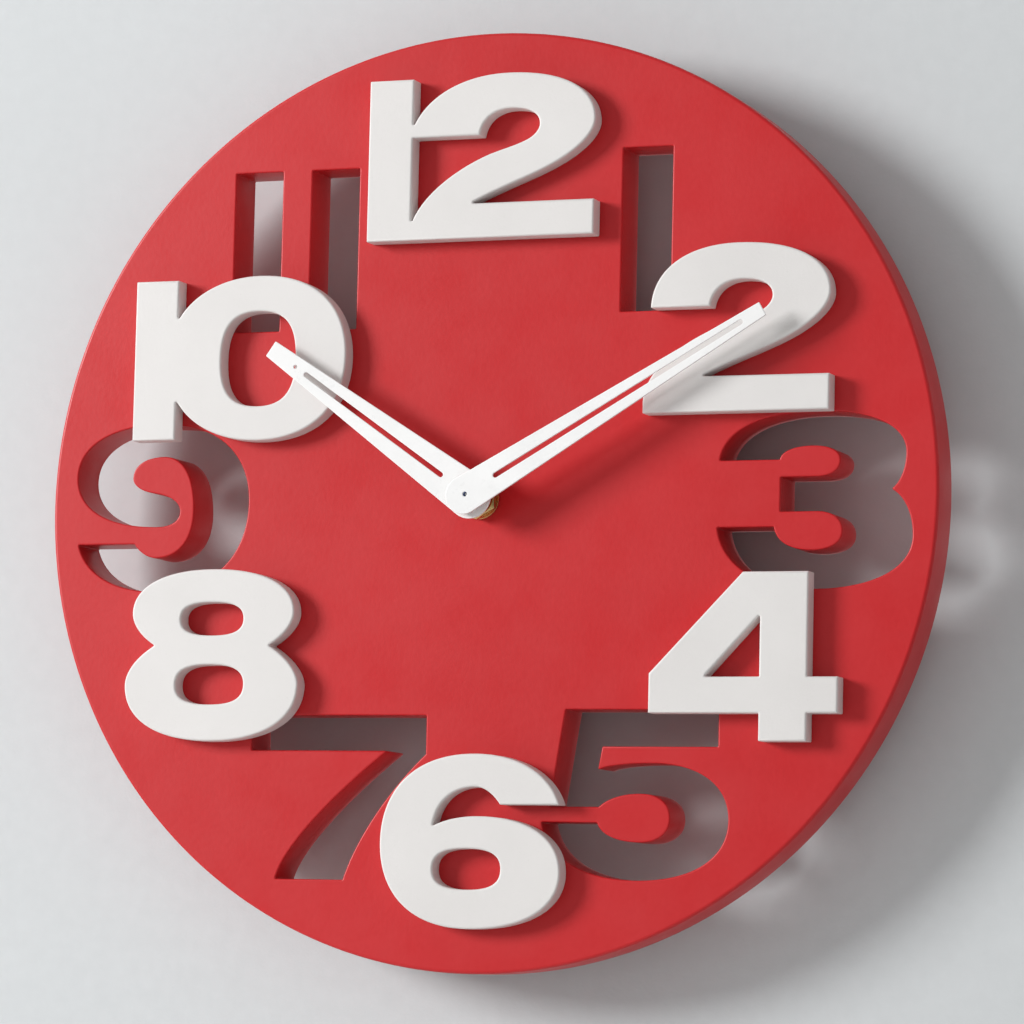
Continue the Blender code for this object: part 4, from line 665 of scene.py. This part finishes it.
FINISHES = {
    "red_lacquer": red_lacquer(),
    "numeral_white": numeral_white(),
    "hand_white": hand_white(),
    "bright_brass": turned_metal("bright_brass", *BRASS),
    "black_rubber": matt_rubber(),
    "hanger_steel": zinc_steel("hanger_steel", *HANGER),
    "case_black": case_plastic(),
    "coil_copper": copper_winding(),
    "motor_iron": zinc_steel("motor_iron", *IRON),
    "magnet_black": moulded("magnet_black", *MAGNET),
    "wheel_plastic": moulded("wheel_plastic", *WHEEL),
    "pinion_plastic": moulded("pinion_plastic", *PINION),
    "board_green": solder_resist(),
    "contact_nickel": zinc_steel("contact_nickel", *NICKEL),
    "cell_wrap": cell_film(),
}

for row in frame["record"]["subparts"]:
    node = NODES[row["node"]]
    node.data.materials.clear()
    node.data.materials.append(FINISHES[row["material_slot"]])


# ---------------------------------------------------------------- disc

def placed(shares):
    return shares[0] * DISC_RADIUS, shares[1] * DISC_RADIUS


def recess_loop():
    """The recess for the movement: a rounded square, with a notch above it for the hanger."""
    points, corner = [], RECESS_CORNER

    def arc(x, z, start):
        for i in range(7):
            angle = math.radians(start + 15 * i)
            points.append((x + corner * math.cos(angle), z + corner * math.sin(angle)))

    inner = RECESS_HALF - corner
    arc(inner, -inner, -90)
    arc(inner, inner, 0)
    points += [(NOTCH_HALF, RECESS_HALF), (NOTCH_HALF, NOTCH_TOP)]
    points += [(-NOTCH_HALF, NOTCH_TOP), (-NOTCH_HALF, RECESS_HALF)]
    arc(-inner, inner, 90)
    arc(-inner, -inner, 180)
    return points


def build_disc():
    body = bmesh.new()
    outer_rows = rounded_rows(DISC_BACK, DISC_FRONT, DISC_BACK_EDGE, DISC_RIM_EDGE, 7)
    hole_rows = rounded_rows(DISC_BACK, DISC_FRONT, CUT_BACK_EDGE, CUT_EDGE, 5)
    backs, fronts = [], []

    def keep(rings):
        backs.append(rings[0])
        fronts.append(rings[1])

    keep(sweep(body, Loop(round_loop(DISC_RADIUS, count=256)), outer_rows))
    for numeral, shares in CUT.items():
        for points in numeral_loops(numeral, placed(shares)):
            keep(sweep(body, Loop(points, True, CUT_FILLET, CUT_EDGE), hole_rows))
    recess_rows = [(RECESS_EDGE + 0.00012, DISC_BACK)]
    for angle in (0, 0.4, 0.8, 1.2, math.pi / 2):
        out, into = RECESS_EDGE * (1 - math.sin(angle)), RECESS_EDGE * (1 - math.cos(angle))
        recess_rows.append((out, DISC_BACK + into))
    recess_rows.append((0, RECESS_FLOOR))
    back_recess, floor_recess = sweep(body, Loop(recess_loop(), True, RECESS_FILLET, 0.0003), recess_rows)
    backs.append(back_recess)
    outside, edge = BORE_EDGE + 0.0001, BORE_EDGE
    bore_rows = [
        (outside, RECESS_FLOOR), (edge, RECESS_FLOOR), (0, RECESS_FLOOR + edge),
        (0, DISC_FRONT - edge), (edge, DISC_FRONT), (outside, DISC_FRONT),
    ]
    bore_back, bore_front = sweep(body, Loop(round_loop(BORE_RADIUS, count=64), True), bore_rows)
    fronts.append(bore_front)
    fill(body, backs, DISC_BACK, False)
    fill(body, fronts, DISC_FRONT, True)
    fill(body, [floor_recess, bore_back], RECESS_FLOOR, False)
    return finished("disc", body, FINISHES["red_lacquer"])


def stand_for(piece, node, body):
    """Puts a finer piece in the place of a node, on its body, and hides the node."""
    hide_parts(node)
    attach(piece, body)


stand_for(build_disc(), "face_disc", "clock")

# ---------------------------------------------------------------- raised numerals

for numeral, shares in RAISED.items():
    loops = numeral_loops(numeral, placed(shares))
    piece = slab(
        "raised_" + numeral, loops[:1], loops[1:], NUMERAL_BACK, NUMERAL_FRONT,
        NUMERAL_BACK_EDGE, NUMERAL_EDGE, FINISHES["numeral_white"],
    )
    stand_for(piece, "numeral_" + numeral, "clock")


# ---------------------------------------------------------------- hands

def slot_points(start, end, width):
    half = width / 2
    turns = [math.pi * i / 10 for i in range(11)]
    low = [(half * math.cos(math.pi + t), start + half + half * math.sin(math.pi + t)) for t in turns]
    high = [(half * math.cos(t), end - half + half * math.sin(t)) for t in turns]
    return low + high


def hand_outline(length, hub, tip):
    half_tip = tip / 2
    taper = math.asin((hub - half_tip) / (length + HAND_TAIL))
    points = [(half_tip, length), (-half_tip, length)]
    start = math.pi - taper
    count = 40
    for i in range(count + 1):
        angle = start + (math.pi + 2 * taper) * i / count
        points.append((hub * math.cos(angle), -HAND_TAIL + hub * math.sin(angle)))
    return points


def turned_by(loop, share):
    angle = -math.tau * share
    c, s = math.cos(angle), math.sin(angle)
    return [(x * c - y * s, x * s + y * c) for x, y in loop]


def build_hand(name, spec, holes, share):
    outline = turned_by(hand_outline(spec["length"], spec["hub"], spec["tip"]), share)
    cut = [turned_by(loop, share) for loop in (slot_points(*spec["slot"], HAND_SLOT_WIDTH), *holes)]
    back = spec["back"]
    return slab(
        name, [outline], cut, back, back + HAND_THICKNESS, HAND_EDGE * 0.6, HAND_EDGE,
        FINISHES["hand_white"], fillet=0.0003, steps=3,
    )


minute = build_hand("minute_hand_white", MINUTE_HAND, [round_loop(HAND_DOT_RADIUS, count=32)], MINUTE_TURN)
stand_for(minute, "minute_hand", "minute_side")
hour_holes = [round_loop(HOUR_PIPE_BORE), round_loop(HOUR_TIP_HOLE[0], (0, HOUR_TIP_HOLE[1]), 24)]
hour = build_hand("hour_hand_white", HOUR_HAND, hour_holes, HOUR_TURN)
stand_for(hour, "hour_hand", "hour_side")

# ---------------------------------------------------------------- nut, bush, washers and battery

def turned(name, section, slot, count, lying=None, closed=True, crease=34):
    """A turned solid. section(turn) lists its (radius, place along the axis) rows at that turn. The axis is
    the clock's own, or, for a lying solid, a line along x at that depth and height."""
    body = bmesh.new()
    columns = []
    for i in range(count):
        turn = math.tau * i / count
        c, s = math.cos(turn), math.sin(turn)
        if lying:
            places = [(along, -lying[0] + r * c, lying[1] + r * s) for r, along in section(turn)]
        else:
            places = [(r * c, -along, r * s) for r, along in section(turn)]
        columns.append([body.verts.new(place) for place in places])
    rows = len(columns[0])
    for a, b in zip(columns, columns[1:] + columns[:1]):
        for j in range(rows if closed else rows - 1):
            k = (j + 1) % rows
            body.faces.new((a[j], a[k], b[k], b[j]))
    return finished(name, body, FINISHES[slot], crease)


def quarter(radius, start, place, steps=4):
    """The (radius, place) rows of a quarter round about a centre, from one angle in degrees on."""
    angles = [math.radians(start + 90 * i / steps) for i in range(steps + 1)]
    return [(place[0] + radius * math.cos(a), place[1] + radius * math.sin(a)) for a in angles]


def washer_section(outer, back, front, edge):
    inner, outer, low, high = BORE_RADIUS + edge, outer - edge, back + edge, front - edge
    return [
        *quarter(edge, 180, (inner, low)), *quarter(edge, -90, (outer, low)),
        *quarter(edge, 0, (outer, high)), *quarter(edge, 90, (inner, high)),
    ]


def nut_section(turn):
    """A hexagon nut, its corners taken off by a cone at both ends."""
    bore, wider = BORE_RADIUS, BORE_RADIUS + NUT_BORE_EDGE
    radius = NUT_FLAT / math.cos((turn + math.pi / 6) % (math.pi / 3) - math.pi / 6)
    drop = (radius - NUT_CONE_RADIUS) * math.tan(math.radians(NUT_CONE_ANGLE))
    low, high = NUT_BACK + drop, NUT_FRONT - drop
    return [
        (bore, NUT_BACK + NUT_BORE_EDGE), (wider, NUT_BACK), (NUT_CONE_RADIUS, NUT_BACK),
        (radius - NUT_EDGE, low), (radius, low + NUT_EDGE_DEPTH),
        (radius, high - NUT_EDGE_DEPTH), (radius - NUT_EDGE, high),
        (NUT_CONE_RADIUS, NUT_FRONT), (wider, NUT_FRONT), (bore, NUT_FRONT - NUT_BORE_EDGE),
    ]


def bush_section(turn):
    """The bush: a flange at its foot and a right-hand thread, with a bore for the hour pipe."""
    rows = [(BUSH_BORE, BUSH_BACK), (FLANGE_RADIUS, BUSH_BACK), (FLANGE_RADIUS, FLANGE_FRONT)]
    rows.append((THREAD_CREST, FLANGE_FRONT))
    count = round((BUSH_FRONT - THREAD_START) / (THREAD_PITCH / 6))
    for i in range(count):
        place = THREAD_START + (BUSH_FRONT - THREAD_START) * i / count
        wave = abs((place / THREAD_PITCH + turn / math.tau) % 1 - 0.5) * 2
        radius = THREAD_ROOT + (THREAD_CREST - THREAD_ROOT) * min(1, 1.3 * wave)
        rows.append((min(radius, THREAD_ROOT + BUSH_FRONT - place), place))
    rows += [(THREAD_ROOT, BUSH_FRONT), (BUSH_BORE + 0.0001, BUSH_FRONT), (BUSH_BORE, BUSH_FRONT - 0.0001)]
    return rows


def cell_section(turn):
    """An AA cell in its film, with a flat end and a nub."""
    left, right, radius, edge, nub = CELL_LEFT, CELL_RIGHT, CELL_RADIUS, CELL_EDGE, CELL_NUB
    return [
        (0, left + 0.0002), (0.0054, left + 0.0002), (0.0056, left), (radius - edge, left),
        (radius - 0.0003, left + 0.0002), (radius, left + edge), (radius, right - edge),
        (radius - 0.0003, right - 0.0002), (radius - edge, right), (0.0052, right), (0.005, right - 0.0003),
        (nub + 0.0006, right - 0.0003), (nub, right), (nub, CELL_TIP - 0.0003), (nub - 0.0003, CELL_TIP),
        (0, CELL_TIP),
    ]


def brass_section(turn):
    return washer_section(**BRASS_WASHER)


def rubber_section(turn):
    return washer_section(**RUBBER_WASHER)


nut = turned("chamfered_nut", nut_section, "bright_brass", 72, crease=25)
stand_for(nut, "hex_nut", "clock")
brass_washer = turned("rounded_brass_washer", brass_section, "bright_brass", 72)
stand_for(brass_washer, "brass_washer", "clock")
rubber_washer = turned("rounded_rubber_washer", rubber_section, "black_rubber", 72)
stand_for(rubber_washer, "rubber_washer", "clock")
bush = turned("bush_thread", bush_section, "bright_brass", 48, crease=50)
stand_for(bush, "threaded_bush", "clock")
cell = turned("filmed_cell", cell_section, "cell_wrap", 64, CELL_PLACE, False)
stand_for(cell, "battery", "clock")

# ---------------------------------------------------------------- eased edges of the other pieces

EASED = {
    "movement_front_case": 0.0003, "movement_rear_cover": 0.00025, "hanger_plate": 0.00018,
    "setting_knob": 0.00015, "hour_hand_collet": 0.00012, "minute_hand_collet": 0.00012,
    "negative_contact": 0.00008, "positive_contact": 0.00008,
    "circuit_board": 0.0001, "stator": 0.0001, "coil_core": 0.0001,
}
for node, width in EASED.items():
    joined = NODES[node].modifiers.new("joined", "WELD")
    joined.merge_threshold = 1e-6
    edge = NODES[node].modifiers.new("edge", "BEVEL")
    edge.width, edge.segments = width, 2
    edge.limit_method, edge.angle_limit = "ANGLE", math.radians(40)
    edge.use_clamp_overlap = True

# ---------------------------------------------------------------- wall, floor, light and camera

WALL_SIZE, WALL_PLACE, FLOOR_DROP = 6.0, 0.0055, 1.25
BEHIND_RADIUS, NEAR_LENGTH = 0.17, 0.023


def plaster(name, low, high):
    """Pale plaster or floor, with a soft uneven coat."""
    p = Paint(name)
    base = p.blend(p.spread(p.noise(3, 3), 0, 1), low, high)
    mottle = p.maths("MULTIPLY", p.spread(p.noise(160, 4), 0, 1), 0.3)
    p.link(p.blend(mottle, base, tuple(c * 0.94 for c in low)), "Base Color")
    p.set(Roughness=0.9, Specular_IOR_Level=0.15)
    p.bump((p.noise(120, 4), 0.12, 0.001), (p.noise(700, 3), 0.1, 0.0005))
    return p


def open_from_behind(p):
    """Lets the wall be seen through from its back, and lets light in behind the clock there."""
    path = p.node("ShaderNodeLightPath").outputs

    def both(a, b):
        return p.maths("MULTIPLY", a, b)

    first = p.maths("LESS_THAN", path["Ray Depth"], 1.5)
    at_once = p.maths("LESS_THAN", path["Ray Depth"], 0.5)
    near = p.maths("LESS_THAN", path["Ray Length"], NEAR_LENGTH)
    lit = p.maths("MAXIMUM", both(path["Is Shadow Ray"], at_once), both(path["Is Diffuse Ray"], first))
    lit = p.maths("MAXIMUM", lit, both(both(path["Is Glossy Ray"], first), near))
    lit = both(lit, p.maths("LESS_THAN", p.distance_from_axis(), BEHIND_RADIUS))
    clear = p.maths("MAXIMUM", lit, p.node("ShaderNodeNewGeometry").outputs["Backfacing"])
    mixed = p.node("ShaderNodeMixShader")
    p.tree.links.new(clear, mixed.inputs[0])
    p.tree.links.new(p.shader.outputs[0], mixed.inputs[1])
    p.tree.links.new(p.node("ShaderNodeBsdfTransparent").outputs[0], mixed.inputs[2])
    p.tree.links.new(mixed.outputs[0], p.tree.nodes["Material Output"].inputs["Surface"])


def stage_plane(name, corners, paint):
    """A flat part of the stage, which isn't part of the clock."""
    mesh = bpy.data.meshes.new(name)
    mesh.from_pydata(corners, [], [(0, 1, 2, 3)])
    mesh.materials.append(paint.material)
    made = bpy.data.objects.new(name, mesh)
    bpy.context.scene.collection.objects.link(made)


half, back, low = WALL_SIZE / 2, WALL_PLACE, -FLOOR_DROP
wall_paint = plaster("wall_plaster", (0.62, 0.645, 0.655), (0.658, 0.683, 0.694))
open_from_behind(wall_paint)
wall_corners = [(-half, back, low), (half, back, low), (half, back, half), (-half, back, half)]
stage_plane("wall", wall_corners, wall_paint)
floor_paint = plaster("pale_floor", (0.66, 0.65, 0.64), (0.7, 0.69, 0.68))
floor_corners = [(-half, -half, low), (half, -half, low), (half, half, low), (-half, half, low)]
stage_plane("floor", floor_corners, floor_paint)


def lamp(name, kind, place, power, **settings):
    """A light at a place, pointed at the clock's centre."""
    light = bpy.data.lights.new(name, kind)
    light.energy = power
    for key, value in settings.items():
        setattr(light, key, value)
    made = bpy.data.objects.new(name, light)
    made.location = place
    made.rotation_mode = "QUATERNION"
    made.rotation_quaternion = (-Vector(place)).to_track_quat("-Z", "Y")
    bpy.context.scene.collection.objects.link(made)


lamp("key", "AREA", (-2.36, -1.74, 0.73), 84, shape="DISK", size=1.05)
lamp("rear", "SUN", (0, 2, 0), 3.0, angle=0.01)

world = bpy.data.worlds.new("studio")
world.use_nodes = True
bpy.context.scene.world = world
tree = world.node_tree
background = tree.nodes["Background"]
background.inputs["Color"].default_value = (1, 1, 1, 1)
background.inputs["Strength"].default_value = 0.475
paths = tree.nodes.new("ShaderNodeLightPath")
way = tree.nodes.new("ShaderNodeTexCoord")
apart = tree.nodes.new("ShaderNodeSeparateXYZ")
fall = tree.nodes.new("ShaderNodeMapRange")
for socket, number in zip(("From Min", "From Max", "To Min", "To Max"), (-0.6, 0.1, 0.72, 0.2)):
    fall.inputs[socket].default_value = number
tree.links.new(way.outputs["Generated"], apart.inputs[0])
tree.links.new(apart.outputs[0], fall.inputs["Value"])
mirrored = tree.nodes.new("ShaderNodeBackground")
mirrored.inputs["Color"].default_value = (1, 1, 1, 1)
tree.links.new(fall.outputs[0], mirrored.inputs["Strength"])
seen = tree.nodes.new("ShaderNodeBackground")
seen.inputs["Color"].default_value = (0.8, 0.805, 0.815, 1)
first = tree.nodes.new("ShaderNodeMixShader")
second = tree.nodes.new("ShaderNodeMixShader")
tree.links.new(paths.outputs["Is Glossy Ray"], first.inputs[0])
tree.links.new(background.outputs[0], first.inputs[1])
tree.links.new(mirrored.outputs[0], first.inputs[2])
tree.links.new(paths.outputs["Is Camera Ray"], second.inputs[0])
tree.links.new(first.outputs[0], second.inputs[1])
tree.links.new(seen.outputs[0], second.inputs[2])
tree.links.new(second.outputs[0], tree.nodes["World Output"].inputs["Surface"])

camera_data = bpy.data.cameras.new("camera")
camera_data.lens = 158.203
camera_data.sensor_width = 36
camera = bpy.data.objects.new("camera", camera_data)
right_way, up_way = (0.93602, 0.35122, 0.0227), (0.01486, -0.1039, 0.99448)
back_way = (0.35164, -0.93051, -0.10247)
turned_way = Matrix((right_way, up_way, back_way)).transposed().to_4x4()
camera.matrix_world = Matrix.Translation((0.5961, -1.57539, -0.17518)) @ turned_way
bpy.context.scene.collection.objects.link(camera)
bpy.context.scene.camera = camera

bpy.context.scene.view_settings.view_transform = "Standard"
